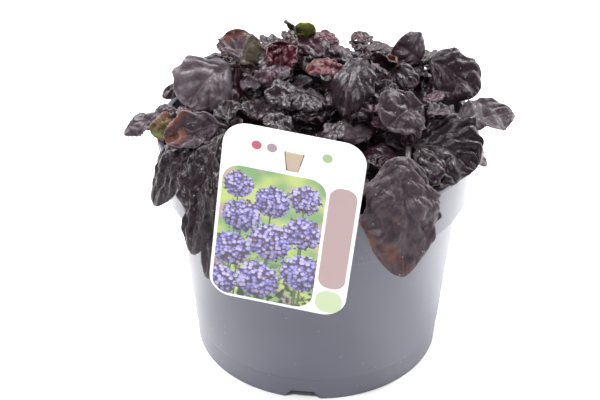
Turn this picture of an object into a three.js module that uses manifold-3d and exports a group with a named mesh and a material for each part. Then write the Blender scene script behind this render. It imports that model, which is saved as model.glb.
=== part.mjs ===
// A potted bugleweed: leafy shoots with near-black crinkled leaves in a round nursery pot,
// and a picture card that hangs in front of the rim on a peg.
// Millimetres, +Z up. The origin is on the ground on the pot's axis, and the card is on the -Y side.

import * as THREE from "three";
import { mergeVertices } from "three/addons/utils/BufferGeometryUtils.js";
import Module from "manifold-3d";

const wasm = await Module();
wasm.setup();

const DEGREE = Math.PI / 180;
const GAP = 0.35; // air between two pieces that stand in or rest on each other

// Driving dimensions of the pot, the soil, the card and the peg
const POT = {
  height: 130,
  lipRadius: 85,
  lipHeight: 4,
  lipReach: 1.8, // the lip stands this far out of the collar
  collarBottom: 97.8,
  collarBottomRadius: 81.2,
  bodyTopRadius: 75.8,
  bodyBottomRadius: 68,
  bodyBottom: 14.4,
  footRadius: 66.8,
  baseTop: 7,
  wall: 1.5,
  sides: 36,
};
const NOTCH = { count: 4, bearing: -97, widthBelow: 20, widthAbove: 12, height: 5 };
const DRAIN = { count: 6, circle: 46, radius: 5, sides: 8 };
const SOIL = { edge: 111, rise: 6, radius: 80, sides: 18, lump: 0.8 };
const CARD = {
  width: 70,
  height: 104,
  thickness: 0.8,
  corner: 12,
  centre: [-16.4, -88.3, 131.5],
  yaw: -10.6,
  lean: 6.2,
};
const SLOT = { widthAbove: 10, widthBelow: 6, height: 11, below: 11 };
const PEG = { width: 5, thickness: 1.6, footRadius: 75.5, buried: 10, head: 2.4 };

// Driving dimensions of the shoots and leaves
const STEM = { foot: 2.8, tip: 2, sides: 6, buried: 10 };
const LEAF = {
  petioleHalfWidth: 1.4,
  petioleThickness: 2.2,
  thickness: 0.9,
  broadest: 1.15, // over 1, the blade is broadest past its middle
  fullness: 0.62, // under 1, the blade is rounder than an ellipse
  scallop: 0.06,
  waves: 2.5,
  waveShift: 0.8, // the two edges' waves are this far out of step
};
const USUAL = { from: 1, roll: 0, turn: 0, cup: -20, wave: 1.2, petiole: 0.15, bow: 0.38, hang: 0.38 };
const LARGE = { petioleSteps: 2, bladeSteps: 8, across: 4 };
const MIDDLE = { petioleSteps: 1, bladeSteps: 5, across: 2 };
const SMALL = { petioleSteps: 1, bladeSteps: 3, across: 2 };
const LARGE_WIDTH = 26; // from this width, a leaf that is set by hand is built finely
const MIDDLE_LENGTH = 21; // from this length, any other leaf is built with more rows than a small one

// How the leaves that aren't set by hand are drawn, and the air that is kept round every leaf
const DRAWN = {
  seed: 10,
  levels: 4,
  tries: 14,
  longest: 44, // the usual length of the lowest drawn leaves
  shortest: 20, // and of those at the tip
  reach: 99, // no drawn leaf goes further from the axis
  top: 180, // no drawn leaf goes above a dome with this top
  drop: 46, // that falls by this much at dropRadius
  dropRadius: 88,
  inner: 25, // a shoot's foot counts as more and more near the rim from here
  outer: 50, // to here
  lowLeaves: 32.5, // a shoot whose foot is nearer the axis has no leaves at the lowest level
  shrink: 0.03, // each new try makes the leaf shorter by this share
  petiole: 0.22,
  ownBlade: 0.3, // up to this share of its blade, a leaf may meet others of its own shoot
};
const AIR = { cell: 1.5, reach: 2, half: 126, bottom: 60, height: 150, along: 32, across: 14, parts: 4 };
const CLEAR = { rim: 3.4, card: 1.9, soil: 2.5, facet: 1.2 };
const GRID = { card: 70, peg: 60, stem: 20 }; // steps of the points that mark where other pieces are

// Each shoot has its foot in the soil and its tip. Of its leaves, these are set by hand, each with
// its tip, the slopes in degrees at which its midrib leaves the stem and ends, and its width.
// from is the share of the stem's height where the leaf grows, roll tips the blade about its midrib,
// turn bends it sideways, cup lifts its sides, wave is the height of the waves in its edge, petiole
// is the stalk's share of its length, and bow and hang are how far the two slopes carry.
const SHOOTS = {
  a: {
    foot: [-43, -30],
    tip: [-46, -31, 150],
    leaves: [
      { tip: [-78, -38, 147], rise: 30, fall: -15, width: 20, roll: -40, turn: -15, cup: 35, wave: 2.5 },
      {
        from: 0.65,
        tip: [-85, -44, 111],
        rise: 65,
        fall: -75,
        width: 31,
        roll: -15,
        petiole: 0.3,
        hang: 0.8,
      },
      { from: 0.65, tip: [-64, -72, 100], rise: 70, fall: -85, width: 31, roll: 14, petiole: 0.3, hang: 0.9 },
      { from: 0.8, tip: [-67, -62, 123], rise: 60, fall: -80, width: 22, cup: -30, petiole: 0.35, bow: 0.45 },
      { from: 0.75, tip: [-57, -72, 85], rise: 65, fall: -88, width: 18, roll: 24, petiole: 0.52, hang: 1 },
    ],
  },
  b: {
    foot: [-38, 10],
    tip: [-42, 14, 160],
    leaves: [
      { tip: [-67, -12, 150], rise: 25, fall: -40, width: 36, roll: -28, turn: 20 },
      { tip: [-43, 34, 171], rise: 70, fall: 60, width: 20, cup: 30, wave: 1.5 },
      { tip: [-33, 14, 178], rise: 50, fall: 75, width: 15, roll: 30, wave: 1.5, petiole: 0.1 },
    ],
  },
  c: {
    foot: [-36, 36],
    tip: [-42, 38, 152],
    leaves: [
      { from: 0.9, tip: [-83, 18, 138], rise: 35, fall: -45, width: 24, roll: 10, turn: 10, cup: -30 },
      { tip: [-54, 34, 159], rise: 60, fall: 40, width: 16, cup: 30, wave: 1.5 },
    ],
  },
  d: {
    foot: [-18, 4],
    tip: [-20, 6, 162],
    leaves: [
      { tip: [-29, -12, 164], rise: 50, fall: -60, width: 18, wave: 1.5, petiole: 0.1 },
      { tip: [-26, 9, 174], rise: 60, fall: 80, width: 17, cup: 40, wave: 0.6, petiole: 0.1 },
      { tip: [-11, 9, 174], rise: 60, fall: 80, width: 17, cup: 40, wave: 0.6, petiole: 0.1 },
      { tip: [-20, 17, 173], rise: 70, fall: 85, width: 19, cup: 30, wave: 0.6, petiole: 0.1 },
      { tip: [-21, -10, 165], rise: 40, fall: -30, width: 14, cup: 30, wave: 0.6, petiole: 0.1 },
    ],
  },
  e: {
    foot: [-6, 34],
    tip: [-7, 32, 164],
    leaves: [
      { tip: [-7, 23, 181], rise: 75, fall: 85, width: 12, cup: 40, wave: 0.5, petiole: 0.1 },
      { tip: [-16, 28, 179], rise: 75, fall: 80, width: 12, cup: 30, wave: 0.6, petiole: 0.1 },
      { tip: [9, 26, 170], rise: 70, fall: 10, width: 14, cup: 20, wave: 0.6 },
      { tip: [1, 9, 168], rise: 60, fall: -50, width: 18, wave: 1.5, petiole: 0.1 },
    ],
  },
  f: {
    foot: [20, 4],
    tip: [22, 6, 166],
    leaves: [
      { tip: [13, -30, 156], rise: 65, fall: -88, width: 27, roll: 5, cup: -38, wave: 1, petiole: 0.12 },
      { from: 0.9, tip: [-6, -10, 170], rise: 20, fall: -10, width: 13, roll: -20, cup: 20, wave: 0.6 },
      { tip: [26, 6, 176], rise: 80, fall: 80, width: 14, cup: -10, wave: 0.6, petiole: 0.1 },
    ],
  },
  g: { foot: [38, -50], tip: [40, -54, 134], leaves: [] },
  h: {
    foot: [54, -16],
    tip: [56, -18, 154],
    leaves: [
      { tip: [34, -40, 155], rise: 35, fall: -25, width: 28, roll: -35, cup: 20, wave: 1 },
      { from: 0.45, tip: [103, 3, 138], rise: 25, fall: -15, width: 25, roll: 10, cup: 15, petiole: 0.35 },
      { from: 0.9, tip: [77, -10, 139], rise: 30, fall: -40, width: 17, roll: 15, wave: 1.5, petiole: 0.2 },
    ],
  },
  i: {
    foot: [52, 20],
    tip: [55, 20, 157],
    leaves: [
      { tip: [79, 28, 149], rise: 45, fall: -40, width: 24, roll: 10, wave: 1.5, petiole: 0.2 },
      { tip: [41, 22, 169], rise: 60, fall: 35, width: 25, roll: -65, wave: 1 },
      { tip: [84, 8, 146], rise: 45, fall: -45, width: 32, roll: 28, cup: -25, wave: 2 },
    ],
  },
  j: {
    foot: [26, 60],
    tip: [27, 62, 143],
    leaves: [
      { from: 0.6, tip: [36, 92, 116], rise: 50, fall: -80, width: 28, roll: 10, wave: 2, petiole: 0.3 },
    ],
  },
  k: {
    foot: [-18, 62],
    tip: [-18, 64, 144],
    leaves: [
      { from: 0.7, tip: [-26, 97, 120], rise: 45, fall: -70, width: 30, roll: -10, wave: 2, petiole: 0.3 },
    ],
  },
  l: {
    foot: [-4, -46],
    tip: [-4, -48, 146],
    leaves: [
      { tip: [13, -50, 159], rise: 50, fall: -30, width: 18, cup: 20, wave: 1.5 },
      { tip: [-28, -48, 164], rise: 50, fall: -20, width: 18, cup: 20, wave: 1.5 },
    ],
  },
  m: {
    foot: [42, -34],
    tip: [46, -36, 140],
    leaves: [
      { tip: [80, -46, 135], rise: 40, fall: -45, width: 45, roll: 32, cup: -15, wave: 2 },
      {
        from: 0.75,
        tip: [88, -24, 123],
        rise: 55,
        fall: -60,
        width: 14,
        roll: 25,
        petiole: 0.55,
        hang: 0.55,
      },
      {
        from: 0.9,
        tip: [42, -91, 100],
        rise: 52,
        fall: -86,
        width: 44,
        roll: -24,
        petiole: 0.36,
        bow: 0.56,
        hang: 0.7,
      },
      { tip: [58, -62, 135], rise: 60, fall: -70, width: 18, roll: 10, cup: -35, wave: 2, petiole: 0.35 },
    ],
  },
  n: {
    foot: [-60, -4],
    tip: [-64, -6, 140],
    leaves: [
      {
        from: 0.85,
        tip: [-103, 2, 126],
        rise: 45,
        fall: -45,
        width: 18,
        roll: -12,
        petiole: 0.25,
        bow: 0.42,
      },
      { from: 0.6, tip: [-86, -18, 137], rise: 25, fall: -30, width: 18, roll: -25, cup: 25, wave: 2 },
      { tip: [-66, -25, 151], rise: 40, fall: -60, width: 14, roll: -20, cup: -30, wave: 2 },
    ],
  },
  p: {
    foot: [4, -16],
    tip: [0, -18, 158],
    leaves: [
      { tip: [-27, -28, 166], rise: 30, fall: -10, width: 20, roll: -25, cup: -15, wave: 1 },
      { tip: [-10, -34, 162], rise: 50, fall: -50, width: 18, wave: 1 },
    ],
  },
  q: {
    foot: [37, 8],
    tip: [38, 10, 158],
    leaves: [
      { tip: [40, 10, 168], rise: 70, fall: 80, width: 12, roll: 30, cup: 40, wave: 1, petiole: 0.1 },
      { tip: [49, -6, 158], rise: 60, fall: -60, width: 18, roll: 20, cup: -50, wave: 1.5, petiole: 0.1 },
      { tip: [31, 8, 172], rise: 70, fall: 60, width: 16, roll: 20, wave: 1, petiole: 0.1 },
    ],
  },
  r: { foot: [30, -20], tip: [28, -20, 155], leaves: [] },
  s: { foot: [-58, 30], tip: [-61, 31, 142], leaves: [] },
  t: { foot: [52, 44], tip: [54, 45, 143], leaves: [] },
  u: { foot: [-42, 56], tip: [-44, 58, 140], leaves: [] },
  v: { foot: [-24, -50], tip: [-26, -52, 138], leaves: [] },
  w: {
    foot: [16, -56],
    tip: [17, -58, 138],
    leaves: [{ tip: [15, -83, 139], rise: 50, fall: -60, width: 18, roll: 10, petiole: 0.25 }],
  },
};

const FINISH = {
  pot: { color: 0x6e6f7c, roughness: 0.5 },
  soil: { color: 0x241b17, roughness: 0.95 },
  card: { color: 0xf2efe8, roughness: 0.35 },
  peg: { color: 0xcdb594, roughness: 0.6 },
  shoot: { color: 0x3c2f36, roughness: 0.42 },
};

// Solids and meshes

function solidOf(geometry) {
  const bare = geometry.clone();
  bare.deleteAttribute("normal");
  bare.deleteAttribute("uv");
  const merged = mergeVertices(bare, 1e-4);
  return new wasm.Manifold(
    new wasm.Mesh({
      numProp: 3,
      vertProperties: new Float32Array(merged.attributes.position.array),
      triVerts: new Uint32Array(merged.index.array),
    }),
  );
}

function meshOf(name, solid, finish) {
  const { vertProperties, triVerts } = solid.getMesh();
  const geometry = new THREE.BufferGeometry();
  geometry.setAttribute("position", new THREE.BufferAttribute(vertProperties, 3));
  geometry.setIndex(new THREE.BufferAttribute(triVerts, 1));
  geometry.computeVertexNormals();
  const material = new THREE.MeshStandardMaterial({ ...finish, metalness: 0, flatShading: true });
  const mesh = new THREE.Mesh(geometry, material);
  mesh.name = name;
  return mesh;
}

// Turns a closed profile of [radius, height] round the Z axis.
function turned(profile, sides) {
  const points = profile.map(([radius, height]) => new THREE.Vector2(radius, height));
  return new THREE.LatheGeometry(points, sides).rotateX(Math.PI / 2);
}

// A flat outline in X and Z whose thickness lies along Y, half on each side of the XZ plane.
function plate(shape, thickness) {
  const geometry = new THREE.ExtrudeGeometry(shape, {
    depth: thickness,
    bevelEnabled: false,
    curveSegments: 3,
  });
  return geometry.translate(0, 0, -thickness / 2).rotateX(Math.PI / 2);
}

// A four-sided outline, as wide as below at its bottom and as above at its top.
function tapered(below, above, bottom, top) {
  return [
    new THREE.Vector2(-below / 2, bottom),
    new THREE.Vector2(below / 2, bottom),
    new THREE.Vector2(above / 2, top),
    new THREE.Vector2(-above / 2, top),
  ];
}

function post(radius, bottom, top, sides) {
  const geometry = new THREE.CylinderGeometry(radius, radius, top - bottom, sides);
  return geometry.rotateX(Math.PI / 2).translate(0, 0, (bottom + top) / 2);
}

// The pot: one moulded wall with a lip, a collar, a tapered body and a foot with drain notches

const collarTopRadius = POT.lipRadius - POT.lipReach;
const innerTopRadius = collarTopRadius - POT.wall;
const innerCollarRadius = POT.collarBottomRadius - POT.wall;
const innerBodyTopRadius = POT.bodyTopRadius - POT.wall;
const innerBaseRadius = POT.footRadius - POT.wall;
const shelf = POT.collarBottom + POT.wall; // where the inside steps in from the collar

function makePot() {
  const { height, lipRadius, lipHeight, wall, baseTop, footRadius } = POT;
  const profile = [
    [footRadius - wall, 0],
    [footRadius, 0],
    [footRadius + 0.3, POT.bodyBottom - 0.6],
    [POT.bodyBottomRadius, POT.bodyBottom],
    [POT.bodyTopRadius, POT.collarBottom],
    [POT.collarBottomRadius, POT.collarBottom + 0.4],
    [collarTopRadius, height - lipHeight],
    [lipRadius, height - lipHeight + 0.8],
    [lipRadius, height - 0.8],
    [lipRadius - 0.8, height],
    [innerTopRadius + 0.4, height],
    [innerTopRadius, height - 0.8],
    [innerCollarRadius, shelf],
    [innerBodyTopRadius, shelf - 0.4],
    [innerBaseRadius, baseTop],
    [0, baseTop],
    [0, baseTop - wall],
    [footRadius - 1.2 * wall, baseTop - wall],
    [footRadius - wall, 0],
  ];
  let pot = solidOf(turned(profile, POT.sides));

  const notch = new THREE.Shape(tapered(NOTCH.widthBelow + 2, NOTCH.widthAbove, -1, NOTCH.height));
  for (let i = 0; i < NOTCH.count; i += 1) {
    const bearing = NOTCH.bearing + (i * 360) / NOTCH.count;
    const cut = plate(notch, 4 * wall).translate(0, -footRadius, 0);
    pot = pot.subtract(solidOf(cut.rotateZ((bearing + 90) * DEGREE)));
  }
  for (let i = 0; i < DRAIN.count; i += 1) {
    const bearing = (i + 0.5) * (360 / DRAIN.count) * DEGREE;
    const cut = post(DRAIN.radius, 0, 2 * baseTop, DRAIN.sides);
    cut.translate(DRAIN.circle * Math.cos(bearing), DRAIN.circle * Math.sin(bearing), 0);
    pot = pot.subtract(solidOf(cut));
  }
  return pot;
}

// The soil: it fills the pot and is mounded on top, with a plain hole for each stem and the peg

function soilHeight(x, y) {
  const share = Math.min(1, Math.hypot(x, y) / SOIL.radius);
  return SOIL.edge + SOIL.rise * Math.cos((share * Math.PI) / 2);
}

function makeSoil(holes) {
  const topRadius = innerCollarRadius + 0.4;
  const profile = [
    [0, POT.baseTop + GAP],
    [innerBaseRadius - GAP, POT.baseTop + GAP],
    [innerBodyTopRadius - GAP, shelf + GAP],
    [innerCollarRadius - GAP, shelf + GAP],
    [topRadius - GAP, SOIL.edge],
    [0.67 * topRadius, SOIL.edge],
    [0.33 * topRadius, SOIL.edge],
    [0, SOIL.edge],
  ];
  const geometry = turned(profile, SOIL.sides);
  const place = geometry.attributes.position;
  for (let i = 0; i < place.count; i += 1) {
    const x = place.getX(i);
    const y = place.getY(i);
    if (place.getZ(i) >= SOIL.edge) {
      const lump = SOIL.lump * Math.sin(x / 7 + 1) * Math.cos(y / 6);
      place.setZ(i, soilHeight(x, y) + lump);
    }
  }
  let soil = solidOf(geometry);
  for (const hole of holes) soil = soil.subtract(hole);
  return soil;
}

// The card and its peg

const cardTurn = new THREE.Matrix4()
  .makeRotationZ(CARD.yaw * DEGREE)
  .multiply(new THREE.Matrix4().makeRotationY(CARD.lean * DEGREE))
  .setPosition(...CARD.centre);
const cardBack = cardTurn.clone().invert();

function roundedRectangle(width, height, corner) {
  const x = width / 2 - corner;
  const y = height / 2 - corner;
  return new THREE.Shape()
    .absarc(x, -y, corner, -Math.PI / 2, 0)
    .absarc(x, y, corner, 0, Math.PI / 2)
    .absarc(-x, y, corner, Math.PI / 2, Math.PI)
    .absarc(-x, -y, corner, Math.PI, 1.5 * Math.PI);
}

const slotTop = CARD.height / 2 - SLOT.below;
const slotBottom = slotTop - SLOT.height;

function makeCard() {
  const shape = roundedRectangle(CARD.width, CARD.height, CARD.corner);
  const slot = tapered(SLOT.widthBelow, SLOT.widthAbove, slotBottom, slotTop);
  shape.holes.push(new THREE.Path(slot));
  return solidOf(plate(shape, CARD.thickness).applyMatrix4(cardTurn));
}

// The peg: a strip that stands in the soil inside the rim and leans out behind the card, with a
// tapered head that fills the card's slot.
function makePeg() {
  const middle = new THREE.Vector3(0, PEG.head, (slotTop + slotBottom) / 2).applyMatrix4(cardTurn);
  const bearing = Math.atan2(middle.y, middle.x);
  const out = Math.hypot(middle.x, middle.y);
  const half = PEG.thickness / 2;
  const foot = SOIL.edge - PEG.buried;
  const bend = SOIL.edge + 3;
  const side = new THREE.Shape([
    new THREE.Vector2(PEG.footRadius - half, foot),
    new THREE.Vector2(PEG.footRadius + half, foot),
    new THREE.Vector2(PEG.footRadius + half, bend),
    new THREE.Vector2(out + half, middle.z + 3),
    new THREE.Vector2(out - half, middle.z + 3),
    new THREE.Vector2(PEG.footRadius - half, bend),
  ]);
  const strip = plate(side, PEG.width).rotateZ(bearing);
  const margin = 2.4 * GAP;
  const outline = tapered(
    SLOT.widthBelow - margin,
    SLOT.widthAbove - margin,
    slotBottom + GAP,
    slotTop - GAP,
  );
  const head = plate(new THREE.Shape(outline), PEG.head + half).translate(0, PEG.head / 2, 0);
  return {
    solid: solidOf(strip).add(solidOf(head.applyMatrix4(cardTurn))),
    hole: solidOf(
      new THREE.BoxGeometry(PEG.thickness + margin, PEG.width + margin, 2 * PEG.buried)
        .translate(PEG.footRadius, 0, SOIL.edge - GAP)
        .rotateZ(bearing),
    ),
    line: [
      new THREE.Vector3(
        PEG.footRadius * Math.cos(bearing),
        PEG.footRadius * Math.sin(bearing),
        SOIL.edge,
      ),
      middle,
    ],
  };
}

// Leaves: a midrib that is one cubic curve, and a blade across it that is cupped, waved and scalloped

function slopeAt(bearing, rise) {
  return new THREE.Vector3(
    Math.cos(rise) * Math.cos(bearing),
    Math.cos(rise) * Math.sin(bearing),
    Math.sin(rise),
  );
}

function sizeOf(leaf) {
  if (leaf.byHand && leaf.width >= LARGE_WIDTH) return LARGE;
  return leaf.root.distanceTo(leaf.tip) >= MIDDLE_LENGTH ? MIDDLE : SMALL;
}

const rimRadius = (POT.lipRadius + innerTopRadius) / 2;
const rimHalf = (POT.lipRadius - innerTopRadius) / 2;

// How far a point is from the middle of the pot's wall, whose top is rounded
function rimDistance(point) {
  const level = Math.min(point.z, POT.height - rimHalf);
  return Math.hypot(Math.hypot(point.x, point.y) - rimRadius, point.z - level);
}

// Moves a point that is too near the card, the rim or the soil until it is clear of it.
function keepClear(point) {
  point.applyMatrix4(cardBack);
  const past = Math.max(0, Math.abs(point.x) - CARD.width / 2 - 1);
  const over = Math.max(0, Math.abs(point.z) - CARD.height / 2 - 1);
  const limit = CLEAR.card - 0.8 * (past + over);
  if (limit > -10) point.y = Math.max(point.y, limit);
  point.applyMatrix4(cardTurn);

  const radius = Math.hypot(point.x, point.y);
  const level = Math.min(point.z, POT.height - rimHalf);
  const stretch = Math.max(1, (rimHalf + CLEAR.rim) / Math.max(rimDistance(point), 1e-9));
  const clear = rimRadius + (radius - rimRadius) * stretch;
  point.x *= clear / radius;
  point.y *= clear / radius;
  point.z = level + (point.z - level) * stretch;

  if (clear < SOIL.radius) point.z = Math.max(point.z, soilHeight(point.x, point.y) + CLEAR.soil);
  return point;
}

// Rows of points along the leaf at the given shares of its length, each with the leaf's normal.
function leafRows(leaf, shares, across) {
  const chord = leaf.tip.clone().sub(leaf.root);
  const length = chord.length();
  const bearing = Math.atan2(chord.y, chord.x);
  const first = bearing - (leaf.turn / 2) * DEGREE;
  const last = bearing + (leaf.turn / 2) * DEGREE;
  const leaving = slopeAt(first, leaf.rise * DEGREE);
  const ending = slopeAt(last, leaf.fall * DEGREE);
  const start = leaf.root.clone().addScaledVector(leaving, leaf.bow * length);
  const end = leaf.tip.clone().addScaledVector(ending, -leaf.hang * length);
  const midrib = new THREE.CubicBezierCurve3(leaf.root, start, end, leaf.tip);
  const tangent = new THREE.QuadraticBezierCurve3(
    start.clone().sub(leaf.root),
    end.clone().sub(start),
    leaf.tip.clone().sub(end),
  );
  const scallops = sizeOf(leaf).bladeSteps / 2;

  return shares.map((share) => {
    const middle = midrib.getPoint(share);
    const along = tangent.getPoint(share).normalize();
    const heading = first + (last - first) * share;
    const side = new THREE.Vector3(-Math.sin(heading), Math.cos(heading), 0);
    side.addScaledVector(along, -side.dot(along)).normalize();
    const blade = Math.max(0, (share - leaf.petiole) / (1 - leaf.petiole));
    const stalk = Math.min(1, share / leaf.petiole);
    side.applyAxisAngle(along, leaf.roll * DEGREE * stalk * stalk * (3 - 2 * stalk));
    const up = along.clone().cross(side);

    const swell = Math.max(0, Math.sin(Math.PI * blade));
    const full = Math.max(0, Math.sin(Math.PI * blade ** LEAF.broadest)) ** LEAF.fullness;
    const scallop = 1 - LEAF.scallop * Math.cos(2 * Math.PI * scallops * blade) * swell ** 0.3;
    const narrow = LEAF.petioleHalfWidth;
    const half = narrow + (leaf.width / 2 - narrow) * full * scallop;
    const cup = leaf.cup * DEGREE * Math.sin(Math.PI * Math.min(blade, 0.5)) + 1e-6;
    const taper = Math.min(1, 4 * blade);
    const thickness = LEAF.petioleThickness + (LEAF.thickness - LEAF.petioleThickness) * taper;

    const row = [];
    for (let j = 0; j <= across; j += 1) {
      const v = (2 * j) / across - 1;
      const angle = cup * v;
      const beat = 2 * Math.PI * LEAF.waves * blade + leaf.phase + LEAF.waveShift * Math.sign(v);
      const lift = (half * (1 - Math.cos(angle))) / cup + leaf.wave * v * v * Math.sin(beat) * swell;
      const point = middle.clone();
      point.addScaledVector(side, (half * Math.sin(angle)) / cup);
      point.addScaledVector(up, lift);
      const normal = up.clone().multiplyScalar(Math.cos(angle));
      normal.addScaledVector(side, -Math.sin(angle));
      row.push({ point: keepClear(point), normal, half: thickness / 2 });
    }
    return row;
  });
}

function evenShares(steps) {
  return Array.from({ length: steps + 1 }, (_, i) => i / steps);
}

// The shares of its length at which the leaf is built, and the rows there
function builtShares(leaf) {
  const { petioleSteps, bladeSteps } = sizeOf(leaf);
  const stalk = evenShares(petioleSteps).slice(0, petioleSteps);
  const blade = evenShares(bladeSteps).map((share) => leaf.petiole + share * (1 - leaf.petiole));
  return [...stalk.map((share) => share * leaf.petiole), ...blade];
}

function builtRows(leaf) {
  return leafRows(leaf, builtShares(leaf), sizeOf(leaf).across);
}

// The leaf as a closed blade: an upper and a lower face split alike, and a wall round its edge.
function leafSolid(leaf) {
  const { across } = sizeOf(leaf);
  const rows = builtRows(leaf);
  const places = [];
  for (const face of [1, -1]) {
    for (const { point, normal, half } of rows.flat()) {
      places.push(...point.clone().addScaledVector(normal, face * half).toArray());
    }
  }

  const columns = across + 1;
  const lower = rows.length * columns;
  const at = (i, j) => i * columns + j;
  const triangles = [];
  for (let i = 0; i < rows.length - 1; i += 1) {
    for (let j = 0; j < across; j += 1) {
      const [a, b, c, d] = [at(i, j), at(i + 1, j), at(i + 1, j + 1), at(i, j + 1)];
      triangles.push(a, b, c, a, c, d);
      triangles.push(lower + a, lower + c, lower + b, lower + a, lower + d, lower + c);
    }
  }
  const end = rows.length - 1;
  const edge = [
    ...rows.map((_, i) => at(i, 0)),
    ...evenShares(across).map((_, j) => at(end, j)),
    ...rows.map((_, i) => at(end - i, across)),
    ...evenShares(across).map((_, j) => at(0, across - j)),
  ].filter((place, i, list) => place !== list[(i + 1) % list.length]);
  edge.forEach((here, i) => {
    const next = edge[(i + 1) % edge.length];
    triangles.push(here, lower + here, next, next, lower + here, lower + next);
  });

  const geometry = new THREE.BufferGeometry();
  geometry.setAttribute("position", new THREE.Float32BufferAttribute(places, 3));
  geometry.setIndex(triangles);
  return solidOf(geometry);
}

// Air: a grid of cells that remembers which shoot has a piece in or near each of them

const airSteps = [Math.ceil((2 * AIR.half) / AIR.cell), Math.ceil(AIR.height / AIR.cell)];
const air = new Uint8Array(airSteps[0] * airSteps[0] * airSteps[1]);

function cellOf(point) {
  const limit = (value, steps) => Math.min(Math.max(value, AIR.reach), steps - 1 - AIR.reach);
  return [
    limit(Math.floor((point.x + AIR.half) / AIR.cell), airSteps[0]),
    limit(Math.floor((point.y + AIR.half) / AIR.cell), airSteps[0]),
    limit(Math.floor((point.z - AIR.bottom) / AIR.cell), airSteps[1]),
  ];
}

function cellIndex(i, j, k) {
  return (i * airSteps[0] + j) * airSteps[1] + k;
}

function takeAir(points, owner) {
  const reach = AIR.reach;
  for (const point of points) {
    const [i, j, k] = cellOf(point);
    for (let a = -reach; a <= reach; a += 1) {
      for (let b = -reach; b <= reach; b += 1) {
        for (let c = -reach; c <= reach; c += 1) {
          if (a * a + b * b + c * c <= reach * reach) air[cellIndex(i + a, j + b, k + c)] = owner;
        }
      }
    }
  }
}

function airOwner(point) {
  return air[cellIndex(...cellOf(point))];
}

// Shoots

const names = Object.keys(SHOOTS);

function stemPlace(shoot, share) {
  const foot = new THREE.Vector3(...shoot.foot, soilHeight(...shoot.foot));
  return foot.lerp(new THREE.Vector3(...shoot.tip), share);
}

function makeStem(shoot) {
  const [x, y, top] = shoot.tip;
  const surface = soilHeight(...shoot.foot);
  const geometry = new THREE.CylinderGeometry(STEM.tip, STEM.foot, 2, STEM.sides, 2);
  geometry.rotateX(Math.PI / 2);
  const levels = [
    [...shoot.foot, surface - STEM.buried],
    [...shoot.foot, surface],
    [x, y, top],
  ];
  const place = geometry.attributes.position;
  for (let i = 0; i < place.count; i += 1) {
    const level = levels[Math.round(place.getZ(i)) + 1];
    place.setXYZ(i, place.getX(i) + level[0], place.getY(i) + level[1], level[2]);
  }
  return solidOf(geometry);
}

function makeStemHole(shoot) {
  const surface = soilHeight(...shoot.foot);
  const radius = STEM.foot + GAP / Math.cos(Math.PI / STEM.sides);
  const hole = post(radius, surface - STEM.buried - GAP, surface + 5, STEM.sides);
  return solidOf(hole.translate(...shoot.foot, 0));
}

// A seeded draw of numbers from 0 to 1
let drawState = DRAWN.seed;
function draw() {
  drawState = (drawState * 1664525 + 1013904223) % 2 ** 32;
  return drawState / 2 ** 32;
}
function spread(width) {
  return width * (draw() - 0.5);
}
function between(low, high, share) {
  return low + (high - low) * share;
}

function placeHandLeaves() {
  let count = 0;
  names.forEach((name, i) => {
    const shoot = SHOOTS[name];
    shoot.grown = shoot.leaves.map((given) => {
      const leaf = { ...USUAL, ...given, byHand: true, phase: 1.7 * count };
      leaf.root = stemPlace(shoot, leaf.from);
      leaf.tip = new THREE.Vector3(...given.tip);
      count += 1;
      return leaf;
    });
    for (const leaf of shoot.grown) {
      takeAir(probesOf(leaf).map(({ point }) => point), i + 1);
    }
  });
}

// One drawn leaf: on a shoot near the rim those that point outwards are longer and hang lower,
// and on every shoot the leaves get smaller and stand up more towards the tip.
function drawLeaf(shoot, level, side, attempt) {
  const height = level / (DRAWN.levels - 1);
  const nearRim = (Math.hypot(...shoot.foot) - DRAWN.inner) / (DRAWN.outer - DRAWN.inner);
  const ring = Math.min(1, Math.max(0, nearRim));
  const out = Math.atan2(shoot.foot[1], shoot.foot[0]);
  const bearing = out + (shoot.turn + 90 * level + 180 * side + spread(60)) * DEGREE;
  const outward = (ring * (1 + Math.cos(bearing - out))) / 2;
  const shrink = 1 - DRAWN.shrink * attempt;
  const usualLength = between(DRAWN.longest, DRAWN.shortest, height);
  const length = usualLength * (0.8 + 0.4 * outward + spread(0.3)) * shrink;
  const width = length * (0.72 + 0.16 * draw());
  const rise = between(45, 65, height) + 12 * outward + spread(16);
  const fall = between(-60, 40, height) - 20 * outward + spread(30);
  const lift = Math.min(0.9, between(0.1, 0.6, height) - 0.5 * outward + spread(0.3));
  const roll = spread(40);
  const turn = spread(50);
  const cup = between(-32, 20, height) + spread(20);
  const wave = 0.05 * width * (0.5 + draw());
  const phase = 2 * Math.PI * draw();
  const root = stemPlace(shoot, between(between(0.3, 0.75, outward), 1, height));
  const reach = length * Math.sqrt(1 - lift * lift);
  const tip = new THREE.Vector3(
    root.x + reach * Math.cos(bearing),
    root.y + reach * Math.sin(bearing),
    root.z + length * lift,
  );
  const hang = USUAL.hang + 0.15 * outward;
  const { petiole } = DRAWN;
  return { ...USUAL, root, tip, rise, fall, width, roll, turn, cup, wave, phase, petiole, hang };
}

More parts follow.
